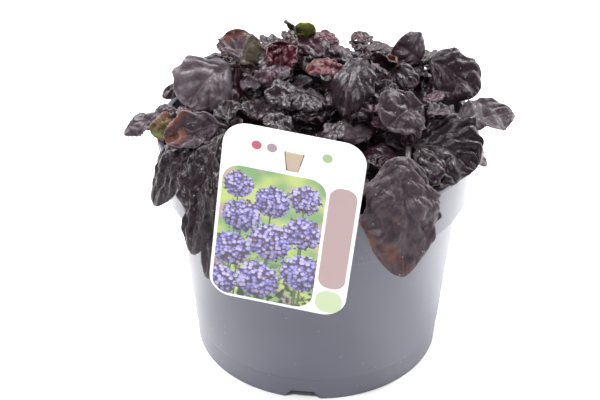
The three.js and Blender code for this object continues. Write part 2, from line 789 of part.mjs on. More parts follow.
// Points on the leaf with each one's share of the blade's length, for finding what is too near it:
// on the smooth leaf, and all over the flat facets between its built rows.
function probesOf(leaf) {
  const bladeShare = (share) => (share - leaf.petiole) / (1 - leaf.petiole);
  const shares = evenShares(AIR.along);
  const probes = leafRows(leaf, shares, AIR.across).flatMap((row, i) =>
    row.map(({ point }) => ({ point, blade: bladeShare(shares[i]), facet: false })),
  );
  const rows = builtRows(leaf);
  const built = builtShares(leaf);
  for (let i = 0; i < rows.length - 1; i += 1) {
    for (let j = 0; j < rows[i].length - 1; j += 1) {
      for (const along of evenShares(AIR.parts)) {
        const left = rows[i][j].point.clone().lerp(rows[i + 1][j].point, along);
        const right = rows[i][j + 1].point.clone().lerp(rows[i + 1][j + 1].point, along);
        const blade = bladeShare(between(built[i], built[i + 1], along));
        for (const across of evenShares(AIR.parts)) {
          probes.push({ point: left.clone().lerp(right, across), blade, facet: true });
        }
      }
    }
  }
  return probes;
}

// A drawn leaf fits where it stays in the mound, clear of the rim, of other shoots and of its own
// shoot's blades.
function leafFits(leaf, probes, owner) {
  const top = (radius) => DRAWN.top - DRAWN.drop * (radius / DRAWN.dropRadius) ** 1.6;
  return probes.every(({ point, blade, facet }) => {
    const radius = Math.hypot(point.x, point.y);
    if (radius > DRAWN.reach || point.z > top(radius)) return false;
    if (facet && rimDistance(point) < rimHalf + CLEAR.facet) return false;
    const taken = airOwner(point);
    return taken === 0 || (taken === owner && blade <= DRAWN.ownBlade);
  });
}

function placeDrawnLeaves() {
  for (const name of names) SHOOTS[name].turn = spread(60);
  const fromRim = names
    .map((name, i) => ({ shoot: SHOOTS[name], owner: i + 1 }))
    .sort((a, b) => Math.hypot(...b.shoot.foot) - Math.hypot(...a.shoot.foot));
  for (let level = 0; level < DRAWN.levels; level += 1) {
    for (const { shoot, owner } of fromRim) {
      if (level === 0 && Math.hypot(...shoot.foot) < DRAWN.lowLeaves) continue;
      for (const side of [0, 1]) {
        for (let attempt = 0; attempt < DRAWN.tries; attempt += 1) {
          const leaf = drawLeaf(shoot, level, side, attempt);
          const probes = probesOf(leaf);
          if (leafFits(leaf, probes, owner)) {
            takeAir(probes.map(({ point }) => point), owner);
            shoot.grown.push(leaf);
            break;
          }
        }
      }
    }
  }
}

// The stem and its leaves as one body. A hollow that the joining seals, or a loose scrap, is dropped.
function makeShoot(shoot) {
  const pieces = [makeStem(shoot), ...shoot.grown.map(leafSolid)];
  const whole = pieces.reduce((joined, piece) => joined.add(piece));
  return whole.decompose().reduce((best, piece) => (piece.volume() > best.volume() ? piece : best));
}

// The whole plant

const peg = makePeg();
const NOBODY = 255;
function cardPlace(across, up) {
  const flat = new THREE.Vector3((across - 0.5) * CARD.width, 0, (up - 0.5) * CARD.height);
  return flat.applyMatrix4(cardTurn);
}
const cardShares = evenShares(GRID.card);
takeAir(cardShares.flatMap((across) => cardShares.map((up) => cardPlace(across, up))), NOBODY);
takeAir(evenShares(GRID.peg).map((share) => peg.line[0].clone().lerp(peg.line[1], share)), NOBODY);
names.forEach((name, i) => {
  takeAir(evenShares(GRID.stem).map((share) => stemPlace(SHOOTS[name], share)), i + 1);
});
placeHandLeaves();
placeDrawnLeaves();

const plant = new THREE.Group();
const holes = [...names.map((name) => makeStemHole(SHOOTS[name])), peg.hole];
plant.add(meshOf("pot", makePot(), FINISH.pot));
plant.add(meshOf("soil", makeSoil(holes), FINISH.soil));
plant.add(meshOf("label_card", makeCard(), FINISH.card));
plant.add(meshOf("label_peg", peg.solid, FINISH.peg));
for (const name of names) {
  plant.add(meshOf(`shoot_${name}`, makeShoot(SHOOTS[name]), FINISH.shoot));
}

export default plant;
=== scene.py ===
"""Potted bugleweed: near-black crinkled leaves in a round nursery pot, with a picture card on a peg."""
import itertools
import math

import bpy
import numpy as np
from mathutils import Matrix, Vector


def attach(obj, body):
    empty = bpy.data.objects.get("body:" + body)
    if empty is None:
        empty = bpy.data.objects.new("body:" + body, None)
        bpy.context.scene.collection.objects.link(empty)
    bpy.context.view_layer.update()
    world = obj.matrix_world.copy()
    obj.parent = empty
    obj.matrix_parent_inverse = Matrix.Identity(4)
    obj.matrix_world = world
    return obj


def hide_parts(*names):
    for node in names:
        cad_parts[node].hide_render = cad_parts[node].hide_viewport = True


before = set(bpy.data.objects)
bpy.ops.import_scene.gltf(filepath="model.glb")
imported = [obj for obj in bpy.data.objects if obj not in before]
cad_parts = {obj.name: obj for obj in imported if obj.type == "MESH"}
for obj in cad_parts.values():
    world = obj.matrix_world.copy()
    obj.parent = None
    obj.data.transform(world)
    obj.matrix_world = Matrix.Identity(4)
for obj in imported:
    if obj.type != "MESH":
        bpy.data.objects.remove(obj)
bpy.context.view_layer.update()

DEGREE = math.pi / 180
MM = 0.001  # the sizes below are millimetres, and a mesh is scaled by this as it is made
GAP = 0.35

# Driving dimensions of the pot, the soil, the card and the peg. A turned profile starts and ends at
# NEAR_AXIS, where a fan of faces closes it. A wedge's below and above are its widths there.
NEAR_AXIS = 0.5
POT = {
    "height": 130, "lip_radius": 85, "lip_height": 4, "lip_reach": 1.8, "collar_bottom": 97.8,
    "collar_bottom_radius": 81.2, "body_top_radius": 75.8, "body_bottom_radius": 68, "body_bottom": 14.4,
    "foot_radius": 66.8, "base_top": 7, "wall": 1.5, "lip_slant": 0.5, "collar_slant": 0.4, "foot_slant": 0.3,
    "foot_groove": 0.6, "rounding": 0.9, "sides": 288, "sharp": 32,
}
NOTCH = {"count": 4, "bearing": -97, "below": 20, "above": 12, "height": 5}
DRAIN = {"count": 6, "circle": 46, "radius": 5, "sides": 32}
SOIL = {"edge": 111, "rise": 6, "radius": 80, "spread": 0.4, "lump": 0.8, "sides": 180, "rings": 64}
CRUMBS = {"count": 420, "reach": 76, "smallest": 0.4, "largest": 1.1, "seed": 34}
CARD = {
    "width": 70, "height": 104, "thickness": 0.8, "corner": 12, "round_over": 0.2,
    "centre": np.array([-16.4, -88.3, 131.5]), "yaw": -10.6, "lean": 6.2,
}
SLOT = {"above": 10, "below": 6, "height": 11, "under_top": 11}
PEG = {
    "width": 5, "thickness": 1.6, "corner": 0.4, "foot_radius": 75.5, "buried": 10, "rise": 3, "bend": 4,
    "head": 2.4, "head_bend": 1.2,
}

# What is printed on the card: its left, bottom, right and top from the card's middle, the radius of its
# corners, and its ink, or none for the picture
PRINT = [
    ((19.5, -35, 33.2, 26), 6, (166, 142, 142)),
    ((19.5, -50.2, 33.2, -36.5), 6, (182, 196, 158)),
    ((-33.4, -50.4, 18, 28), 9, None),
    ((-21, 39, -16, 44), 2.5, (170, 66, 96)),
    ((-13.5, 39, -8.5, 44), 2.5, (150, 128, 140)),
    ((13.5, 39, 18.5, 44), 2.5, (150, 170, 120)),
]
# The picture's flower heads, from the farthest to the nearest: across and up from the card's middle, their
# radius, and the scale of their florets
HEADS = [
    (-25, 17, 7.5, 0.62), (8, 15, 8, 0.6), (-8, 10, 9, 0.58), (-22, -1, 9.5, 0.55), (9, -5, 9.5, 0.52),
    (-7, -14, 11, 0.5), (-26, -22, 10, 0.48), (11, -29, 11, 0.46), (-11, -38, 11, 0.45), (-30, -42, 9, 0.45),
]

# Driving dimensions of the shoots and leaves
STEM = {
    "foot": 2.8, "tip": 2, "dome": (1.7, 0.9), "buried": 10, "sway": 0.7, "nodes": 4, "swell": 0.12,
    "sides": 14, "steps": 24,
}
NO_VEINS = (0.5, 9, 9)
LEAF = {
    "petiole_half_width": 1.4, "petiole_thickness": 2.2, "thickness": 0.7, "rib": 0.6, "rib_half_width": 1.1,
    "broadest": 1.15, "fullness": 0.62, "scallop": 0.06, "waves": 2.5, "wave_shift": 0.8,
}
# The steps of a leaf's plain form: large for broad leaves given one by one, and else by the length
LARGE = {"petiole_steps": 2, "blade_steps": 8, "across": 4}
MIDDLE = {"petiole_steps": 1, "blade_steps": 5, "across": 2}
SMALL = {"petiole_steps": 1, "blade_steps": 3, "across": 2}
LARGE_WIDTH = 26
MIDDLE_LENGTH = 21
# The fine leaf's grid: its cell in millimetres, how much longer a leaf is than straight from root to tip, the
# fewest and most rows and half columns, and how much closer the columns stand towards the edge
FINE = {"cell": 0.8, "slack": 1.15, "rows": (16, 84), "half_columns": (6, 27), "closer": 0.4}

# How the leaves that aren't given one by one are drawn: the levels of a stem, the sides of a level and the
# degrees between them, the tries at a place, the leaf's length at the foot and at the tip, the mound that it
# stays in, how near the rim a shoot counts as an outer one, and the cells of air round a leaf
DRAWN = {
    "seed": 10, "levels": 4, "sides": 2, "apart": 180, "tries": 14, "shrink": 0.03, "longest": 44,
    "shortest": 20, "petiole": 0.22, "reach": 99, "top": 180, "drop": 46, "drop_radius": 88, "inner": 25,
    "outer": 50, "low_leaves": 32.5, "own_blade": 0.3, "air": 2,
}
# The small leaves between the others, drawn by the same rule
SMALL_LEAVES = {
    **DRAWN, "seed": 77, "levels": 7, "sides": 3, "apart": 120, "tries": 12, "longest": 27, "shortest": 13,
    "reach": 92, "top": 184, "drop": 38, "air": 1,
}
# The grid of air: its cells, the cells left free at its border, its half width, bottom and height
AIR = {"cell": 1.5, "border": 2, "half": 126, "bottom": 60, "height": 150}
# How many steps of points stand for a leaf, for each facet of its plain form, and for the other pieces
PROBES = {"along": 32, "across": 14, "facet": 4, "card": 70, "peg": 60, "stem": 20}
# How far the middle surface of a leaf keeps off the other pieces. Past the card's border its distance fades
# by a share of the way, until it is too far behind the card's plane to matter.
CLEAR = {
    "rim": 3.4, "card": 1.9, "soil": 2.5, "facet": 1.2, "card_border": 1, "card_fade": 0.8, "card_reach": 10,
}


def sight(red, green, blue):
    """A colour as it is seen, from 0 to 255, as the light it gives back, from 0 to 1."""
    seen = np.array([red, green, blue]) / 255
    return np.where(seen <= 0.04045, seen / 12.92, ((seen + 0.055) / 1.055) ** 2.4)


def paint(red, green, blue):
    """A colour as it is seen, as the four numbers that a shader takes."""
    return (*sight(red, green, blue).tolist(), 1.0)


# Colours of the leaves and stems
TINTS = {
    "black": sight(28, 19, 25), "night": sight(34, 23, 30), "plum": sight(44, 20, 32),
    "ash": sight(54, 43, 50), "smoke": sight(62, 51, 58), "mist": sight(84, 74, 81),
    "brown": sight(46, 33, 28), "wine": sight(62, 9, 26), "claret": sight(40, 13, 22),
    "rose": sight(70, 8, 27), "sand": sight(70, 62, 50), "bud": sight(170, 180, 96),
    "rust": sight(92, 50, 32), "moss": sight(74, 80, 40), "stalk": sight(32, 23, 22),
}
# What the drawn leaves choose from, where a tint named twice is drawn twice as often. Only the young ones,
# shorter than YOUNG_LENGTH, may be wine red or brown.
DRAWN_TINTS = ["black", "night", "black", "ash", "plum"]
YOUNG_TINTS = ["claret", "brown", "plum", "plum"]
GROWN_TINTS = ["ash"]
YOUNG_LENGTH = 17
DRAWN_SKINS = ["quilted", "folded", "curled"]

# A leaf's relief: how far apart its side veins are and how far they bend forward, and the heights of the
# folds between them, of the cushions of its skin, of the waves along its edge and of its loose crumple
SKINS = {
    "quilted": {"apart": 7, "bend": 0.35, "fold": 1.3, "cushion": 1.5, "ruffle": 1.0, "crumple": 1.4},
    "folded": {"apart": 8, "bend": 0.4, "fold": 1.8, "cushion": 0.6, "ruffle": 1.0, "crumple": 1.8},
    "pleated": {"apart": 7, "bend": 0.75, "fold": 2.8, "cushion": 0.7, "ruffle": 1.0, "crumple": 1.6},
    "smooth": {"apart": 9, "bend": 0.6, "fold": 0.55, "cushion": 0.2, "ruffle": 0.5, "crumple": 1.5},
    "curled": {"apart": 6, "bend": 0.35, "fold": 1.0, "cushion": 1.0, "ruffle": 2.0, "crumple": 2.4},
}
# What every skin has, in millimetres or as a share: the width from which a leaf has its full relief and the
# least share of it, how far the folds wander, the groove along the midrib, the two sizes of cushion, the two
# sizes of crumple, how far the edge and the tip turn under, and the ruffle and the teeth along the edge
RELIEF = {
    "full_width": 24, "least": 0.25, "wander": 0.2, "wander_size": 14, "fold_size": 20, "groove": 0.7,
    "groove_half_width": 1.6, "cushion_size": 12, "fine_cushion": 0.45, "fine_cushion_size": 5.5,
    "swell": 0.8, "swell_size": 26, "crease": 0.4, "crease_size": 24, "edge_under": 1.3, "tip_under": 0.5,
    "ruffle_pace": 2.2, "ruffle_size": 18, "tooth": 0.4, "tooth_pace": 1.25,
}

# A leaf where nothing else is said: its start on the stem from foot 0 to tip 1, its roll about the midrib,
# the turn of its heading and its cup in degrees, the wave of its edge in millimetres, its petiole's share of
# its length, how far its first and last slopes carry it as shares of its length, and its looks. A blush is a
# tint and the share of the blade where it starts.
USUAL = {
    "by_hand": True, "start": 1, "roll": 0, "turn": 0, "cup": -20, "wave": 1.2, "petiole": 0.15,
    "bow": 0.38, "hang": 0.38, "tint": "night", "skin": "quilted", "blush": None,
}


def new_leaf(tip, rise, fall, width, **more):
    """One leaf: its tip, its slopes in degrees at root and tip, its width, and what isn't as usual."""
    return {**USUAL, "tip": np.array(tip, float), "rise": rise, "fall": fall, "width": width, **more}


# Each shoot's foot on the soil, its tip, and the leaves that are given one by one
SHOOTS = {
    "a": ((-43, -30), (-46, -31, 150), [
        new_leaf(
            (-78, -38, 147), 30, -15, 20, roll=-40, turn=-15, cup=35, wave=2.5,
            tint="ash", blush=("rust", 0.5),
        ),
        new_leaf((-85, -44, 111), 65, -75, 31, start=0.65, roll=-15, petiole=0.3, hang=0.8, tint="black"),
        new_leaf((-64, -72, 100), 70, -85, 31, start=0.65, roll=14, petiole=0.3, hang=0.9, tint="black"),
        new_leaf((-67, -62, 123), 60, -80, 22, start=0.8, cup=-30, petiole=0.35, bow=0.45),
        new_leaf((-57, -72, 85), 65, -88, 18, start=0.75, roll=24, petiole=0.52, hang=1, skin="folded"),
    ]),
    "b": ((-38, 10), (-42, 14, 160), [
        new_leaf((-67, -12, 150), 25, -40, 36, roll=-28, turn=20, tint="mist", skin="folded"),
        new_leaf(
            (-43, 34, 171), 70, 60, 20, cup=30, wave=1.5,
            tint="plum", skin="curled", blush=("rust", 0.4),
        ),
        new_leaf((-33, 14, 178), 50, 75, 15, roll=30, wave=1.5, petiole=0.1, tint="sand", skin="curled"),
    ]),
    "c": ((-36, 36), (-42, 38, 152), [
        new_leaf((-83, 18, 138), 35, -45, 24, start=0.9, roll=10, turn=10, cup=-30, skin="folded"),
        new_leaf((-54, 34, 159), 60, 40, 16, cup=30, wave=1.5, tint="brown"),
    ]),
    "d": ((-18, 4), (-20, 6, 162), [
        new_leaf((-29, -12, 164), 50, -60, 18, wave=1.5, petiole=0.1, tint="plum"),
        new_leaf((-26, 9, 174), 60, 80, 17, cup=40, wave=0.6, petiole=0.1, tint="wine"),
        new_leaf((-11, 9, 174), 60, 80, 17, cup=40, wave=0.6, petiole=0.1, tint="wine"),
        new_leaf((-20, 17, 173), 70, 85, 19, cup=30, wave=0.6, petiole=0.1, tint="wine"),
        new_leaf((-21, -10, 165), 40, -30, 14, cup=30, wave=0.6, petiole=0.1, tint="ash"),
    ]),
    "e": ((-6, 34), (-7, 32, 164), [
        new_leaf((-7, 23, 181), 75, 85, 12, cup=40, wave=0.5, petiole=0.1, tint="bud", skin="smooth"),
        new_leaf((-16, 28, 179), 75, 80, 12, cup=30, wave=0.6, petiole=0.1, tint="sand", skin="folded"),
        new_leaf((9, 26, 170), 70, 10, 14, cup=20, wave=0.6, tint="wine"),
        new_leaf((1, 9, 168), 60, -50, 18, wave=1.5, petiole=0.1, tint="plum"),
    ]),
    "f": ((20, 4), (22, 6, 166), [
        new_leaf(
            (13, -30, 156), 65, -88, 27, roll=5, cup=-38, wave=1, petiole=0.12,
            tint="black", skin="smooth",
        ),
        new_leaf(
            (-6, -10, 170), 20, -10, 13, start=0.9, roll=-20, cup=20, wave=0.6,
            tint="rose", blush=("rust", 0.75),
        ),
        new_leaf((26, 6, 176), 80, 80, 14, cup=-10, wave=0.6, petiole=0.1, tint="plum"),
    ]),
    "g": ((38, -50), (40, -54, 134), []),
    "h": ((54, -16), (56, -18, 154), [
        new_leaf((34, -40, 155), 35, -25, 28, roll=-35, cup=20, wave=1, tint="ash"),
        new_leaf(
            (103, 3, 138), 25, -15, 25, start=0.45, roll=10, cup=15, petiole=0.35,
            tint="ash", skin="smooth",
        ),
        new_leaf((77, -10, 139), 30, -40, 17, start=0.9, roll=15, wave=1.5, petiole=0.2),
    ]),
    "i": ((52, 20), (55, 20, 157), [
        new_leaf((79, 28, 149), 45, -40, 24, roll=10, wave=1.5, petiole=0.2, tint="ash", skin="folded"),
        new_leaf((41, 22, 169), 60, 35, 25, roll=-65, wave=1, tint="ash", skin="folded"),
        new_leaf((84, 8, 146), 45, -45, 32, roll=28, cup=-25, wave=2, skin="folded"),
    ]),
    "j": ((26, 60), (27, 62, 143), [
        new_leaf((36, 92, 116), 50, -80, 28, start=0.6, roll=10, wave=2, petiole=0.3),
    ]),
    "k": ((-18, 62), (-18, 64, 144), [
        new_leaf((-26, 97, 120), 45, -70, 30, start=0.7, roll=-10, wave=2, petiole=0.3, tint="ash"),
    ]),
    "l": ((-4, -46), (-4, -48, 146), [
        new_leaf((13, -50, 159), 50, -30, 18, cup=20, wave=1.5),
        new_leaf((-28, -48, 164), 50, -20, 18, cup=20, wave=1.5, tint="black"),
    ]),
    "m": ((42, -34), (46, -36, 140), [
        new_leaf((80, -46, 135), 40, -45, 45, roll=32, cup=-15, wave=2, tint="black", skin="pleated"),
        new_leaf((88, -24, 123), 55, -60, 14, start=0.75, roll=25, petiole=0.55, hang=0.55, tint="mist"),
        new_leaf(
            (42, -91, 100), 52, -86, 44, start=0.9, roll=-24, petiole=0.36, bow=0.56, hang=0.7,
            tint="smoke", blush=("rust", 0.76),
        ),
        new_leaf((58, -62, 135), 60, -70, 18, roll=10, cup=-35, wave=2, petiole=0.35),
    ]),
    "n": ((-60, -4), (-64, -6, 140), [
        new_leaf(
            (-103, 2, 126), 45, -45, 18, start=0.85, roll=-12, petiole=0.25, bow=0.42,
            tint="ash", blush=("sand", 0.6),
        ),
        new_leaf(
            (-86, -18, 137), 25, -30, 18, start=0.6, roll=-25, cup=25, wave=2,
            tint="moss", blush=("rust", 0.35),
        ),
        new_leaf((-66, -25, 151), 40, -60, 14, roll=-20, cup=-30, wave=2),
    ]),
    "p": ((4, -16), (0, -18, 158), [
        new_leaf((-27, -28, 166), 30, -10, 20, roll=-25, cup=-15, wave=1),
        new_leaf((-10, -34, 162), 50, -50, 18, wave=1),
    ]),
    "q": ((37, 8), (38, 10, 158), [
        new_leaf((40, 10, 168), 70, 80, 12, roll=30, cup=40, wave=1, petiole=0.1, tint="rust", skin="curled"),
        new_leaf((49, -6, 158), 60, -60, 18, roll=20, cup=-50, wave=1.5, petiole=0.1, skin="pleated"),
        new_leaf((31, 8, 172), 70, 60, 16, roll=20, wave=1, petiole=0.1, tint="brown", skin="curled"),
    ]),
    "r": ((30, -20), (28, -20, 155), []),
    "s": ((-58, 30), (-61, 31, 142), []),
    "t": ((52, 44), (54, 45, 143), []),
    "u": ((-42, 56), (-44, 58, 140), []),
    "v": ((-24, -50), (-26, -52, 138), []),
    "w": ((16, -56), (17, -58, 138), [
        new_leaf((15, -83, 139), 50, -60, 18, roll=10, petiole=0.25, tint="ash"),
    ]),
}

# The camera, with its target in millimetres and its distance in metres, the floor in millimetres, and the
# lights in metres and degrees. A lamp is its place, its aim and its power in watts.
CAMERA = {"target": (-9.5, 0, 84), "distance": 1.0, "elevation": 34.4, "lens": 110.6, "sensor": 36}
FLOOR = {"reach": 6000, "below": 0.2}
ROOM_LIGHT = 0.29
SUN = {"strength": 2.8, "angle": 14, "turn": (24, -14, 0)}
LAMP_SIZE = 0.8
LAMPS = {
    "left": ((-1.15, 0.5, 0.5), (0, 0, 0.06), 1),
    "right": ((1.15, 0.5, 0.5), (0, 0, 0.06), 9),
    "behind_left": ((-0.75, 0.95, 1.1), (-0.3, 0.25, 0), 34),
    "behind_right": ((0.75, 0.95, 1.1), (0.3, 0.25, 0), 34),
}


# Meshes

def grid_faces(rows, columns, around=False):
    """Four-sided faces of a grid of rows by columns of points, also from last column to first if it goes
    around."""
    row = np.arange(rows - 1)[:, None]
    column = np.arange(columns if around else columns - 1)[None, :]
    following = (column + 1) % columns
    above = row * columns
    below = above + columns
    corners = [above + column, below + column, below + following, above + following]
    return np.stack(corners, axis=-1).reshape(-1, 4)


def lofted(rings):
    """A closed body through rings of points, as a part: faces from ring to ring, and a fan of triangles to
    the middle of the first ring and of the last. The rings run anticlockwise seen from the last one."""
    count, sides = rings.shape[:2]
    ends = [rings[0].mean(axis=0), rings[-1].mean(axis=0)]
    points = np.concatenate([rings.reshape(-1, 3), ends])
    turn = np.arange(sides)
    after = (turn + 1) % sides
    top = (count - 1) * sides
    first = np.stack([np.full(sides, count * sides), after, turn], axis=-1)
    last = np.stack([np.full(sides, count * sides + 1), top + turn, top + after], axis=-1)
    faces = grid_faces(count, sides, around=True)[:, ::-1].tolist()
    return {"points": points, "faces": faces + first.tolist() + last.tolist()}


def joined(parts):
    """Several parts as one: points and values end to end, and each part's faces counted on from the last."""
    faces = []
    start = 0
    for part in parts:
        faces += [[start + corner for corner in face] for face in part["faces"]]
        start += len(part["points"])
    keys = [key for key in parts[0] if key != "faces"]
    whole = {key: np.concatenate([part[key] for part in parts]) for key in keys}
    return {**whole, "faces": faces}


def put(name, data):
    """A new object in the scene."""
    thing = bpy.data.objects.new(name, data)
    bpy.context.scene.collection.objects.link(thing)
    return thing


def put_mesh(name, part):
    """A new object whose mesh has a part's points, in millimetres, and its faces."""
    mesh = bpy.data.meshes.new(name)
    mesh.from_pydata((np.asarray(part["points"]) * MM).tolist(), [], part["faces"])
    return put(name, mesh)


def shade_mesh(mesh, sharp):
    """Smooth shading, with edges that bend by more than sharp degrees kept sharp."""
    mesh.shade_smooth()
    if sharp is not None:
        mesh.set_sharp_from_angle(angle=sharp * DEGREE)


def mesh_piece(name, part, material, stands_for, sharp=None):
    """Makes one piece of the plant, with a part's other values as attributes: colours have four numbers a
    point, and vectors three."""
    piece = put_mesh(name, part)
    mesh = piece.data
    for key, values in part.items():
        if key in ("points", "faces"):
            continue
        kind, field = ("FLOAT_COLOR", "color") if values.shape[1] == 4 else ("FLOAT_VECTOR", "vector")
        attribute = mesh.attributes.new(key, kind, "POINT")
        attribute.data.foreach_set(field, values.astype(np.float32).ravel())
    shade_mesh(mesh, sharp)
    mesh.materials.append(material)
    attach(piece, "root")
    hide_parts(stands_for)
    return piece


def unit(vectors):
    """Vectors of length 1 in the same directions."""
    return vectors / np.linalg.norm(vectors, axis=-1, keepdims=True)


def ripple(x, y, size, seed):
    """A soft uneven field from about -1 to 1: seven sine waves of drawn direction, phase and length, near
    size."""
    draws = np.random.default_rng(seed)
    total = 0
    for _ in range(7):
        angle, phase = draws.uniform(0, 2 * np.pi, 2)
        pace = 2 * np.pi / (size * draws.uniform(0.6, 1.7))
        total = total + np.sin(pace * (x * np.cos(angle) + y * np.sin(angle)) + phase)
    return total / 3


def between(low, high, share):
    """What lies at a share of the way from low to high."""
    return low + (high - low) * share


def eased(value, low, high):
    """From 0 at low to 1 at high, level at both."""
    share = np.clip((value - low) / (high - low), 0, 1)
    return share * share * (3 - 2 * share)


def even(steps):
    """Shares from 0 to 1 in even steps."""
    return np.linspace(0, 1, steps + 1)


def domes(x, y, size, seed):
    """Rounded lumps about size wide: 1 less the square of the distance to the nearest of drawn centres, one
    to a square of size. The draws repeat after 16 squares."""
    repeat = 16
    offsets = np.random.default_rng(seed).random((repeat, repeat, 2))
    column = np.floor(x / size).astype(int)
    row = np.floor(y / size).astype(int)
    away = []
    for i in (-1, 0, 1):
        for j in (-1, 0, 1):
            centre = offsets[(column + i) % repeat, (row + j) % repeat]
            away.append(np.hypot(x / size - column - i - centre[..., 0], y / size - row - j - centre[..., 1]))
    return 1 - np.minimum(1, np.min(away, axis=0) / 0.8) ** 2


def creased(x, y, size, seed):
    """Smooth swellings with a net of sharp creases between them: a power of how far a ripple is from 0."""
    return np.abs(ripple(x, y, size, seed)) ** 0.7 - 0.6


# The frame of the card

def turning(yaw, lean):
    """A turn about the upright by yaw, after a lean about the card's own thickness."""
    a = yaw * DEGREE
    b = lean * DEGREE
    about_z = np.array([[math.cos(a), -math.sin(a), 0], [math.sin(a), math.cos(a), 0], [0, 0, 1]])
    about_y = np.array([[math.cos(b), 0, math.sin(b)], [0, 1, 0], [-math.sin(b), 0, math.cos(b)]])
    return about_z @ about_y


card_turn = turning(CARD["yaw"], CARD["lean"])
slot_top = CARD["height"] / 2 - SLOT["under_top"]
slot_bottom = slot_top - SLOT["height"]


def from_card(points):
    """Points in the card's frame, x across it, y through it and z up it, as points of the plant."""
    return points @ card_turn.T + CARD["centre"]


def to_card(points):
    """Points of the plant as points in the card's frame."""
    return (points - CARD["centre"]) @ card_turn


def peg_line():
    """The peg's foot at the soil's edge and the middle of its head, in the card's slot."""
    middle = from_card(np.array([0, PEG["head"], (slot_top + slot_bottom) / 2]))
    bearing = math.atan2(middle[1], middle[0])
    foot = PEG["foot_radius"] * np.array([math.cos(bearing), math.sin(bearing), 0])
    return foot + [0, 0, SOIL["edge"]], middle


# What the pot's other pieces and the leaves need of the pot and the soil

collar_top_radius = POT["lip_radius"] - POT["lip_reach"]
inner_top_radius = collar_top_radius - POT["wall"]
inner_collar_radius = POT["collar_bottom_radius"] - POT["wall"]
inner_body_top_radius = POT["body_top_radius"] - POT["wall"]
inner_base_radius = POT["foot_radius"] - POT["wall"]
shelf = POT["collar_bottom"] + POT["wall"]
rim_radius = (POT["lip_radius"] + inner_top_radius) / 2
rim_half = (POT["lip_radius"] - inner_top_radius) / 2


def soil_height(x, y):
    """The soil's mound: a quarter wave of a cosine from the pot's axis to its edge."""
    share = np.minimum(1, np.hypot(x, y) / SOIL["radius"])
    return SOIL["edge"] + SOIL["rise"] * np.cos(share * np.pi / 2)


def rim_distance(points):
    """How far points are from the middle of the pot's wall, whose top is rounded."""
    level = np.minimum(points[..., 2], POT["height"] - rim_half)
    return np.hypot(np.hypot(points[..., 0], points[..., 1]) - rim_radius, points[..., 2] - level)


# The leaf's rule

def slope_at(bearing, rise):
    """A direction by its bearing and its rise above the level."""
    level = math.cos(rise)
    return np.array([level * math.cos(bearing), level * math.sin(bearing), math.sin(rise)])


def size_of(leaf):
    """How many steps the leaf's plain form has."""
    if leaf["by_hand"] and leaf["width"] >= LARGE_WIDTH:
        return LARGE
    return MIDDLE if np.linalg.norm(leaf["tip"] - leaf["root"]) >= MIDDLE_LENGTH else SMALL


def keep_clear(points):
    """Moves the points that are too near the card, the rim or the soil until they are clear of it: back
    from the card's plane, less so past its border, straight away from the middle of the wall, and up from
    the mound."""
    card = to_card(points)
    past = np.maximum(0, np.abs(card[..., 0]) - CARD["width"] / 2 - CLEAR["card_border"])
    over = np.maximum(0, np.abs(card[..., 2]) - CARD["height"] / 2 - CLEAR["card_border"])
    limit = CLEAR["card"] - CLEAR["card_fade"] * (past + over)
    card[..., 1] = np.where(limit > -CLEAR["card_reach"], np.maximum(card[..., 1], limit), card[..., 1])
    points = from_card(card)

    radius = np.hypot(points[..., 0], points[..., 1])
    level = np.minimum(points[..., 2], POT["height"] - rim_half)
    stretch = np.maximum(1, (rim_half + CLEAR["rim"]) / np.maximum(rim_distance(points), 1e-9))
    clear = between(rim_radius, radius, stretch)
    x = points[..., 0] * clear / radius
    y = points[..., 1] * clear / radius
    z = between(level, points[..., 2], stretch)
    z = np.where(clear < SOIL["radius"], np.maximum(z, soil_height(x, y) + CLEAR["soil"]), z)
    return np.stack([x, y, z], axis=-1)


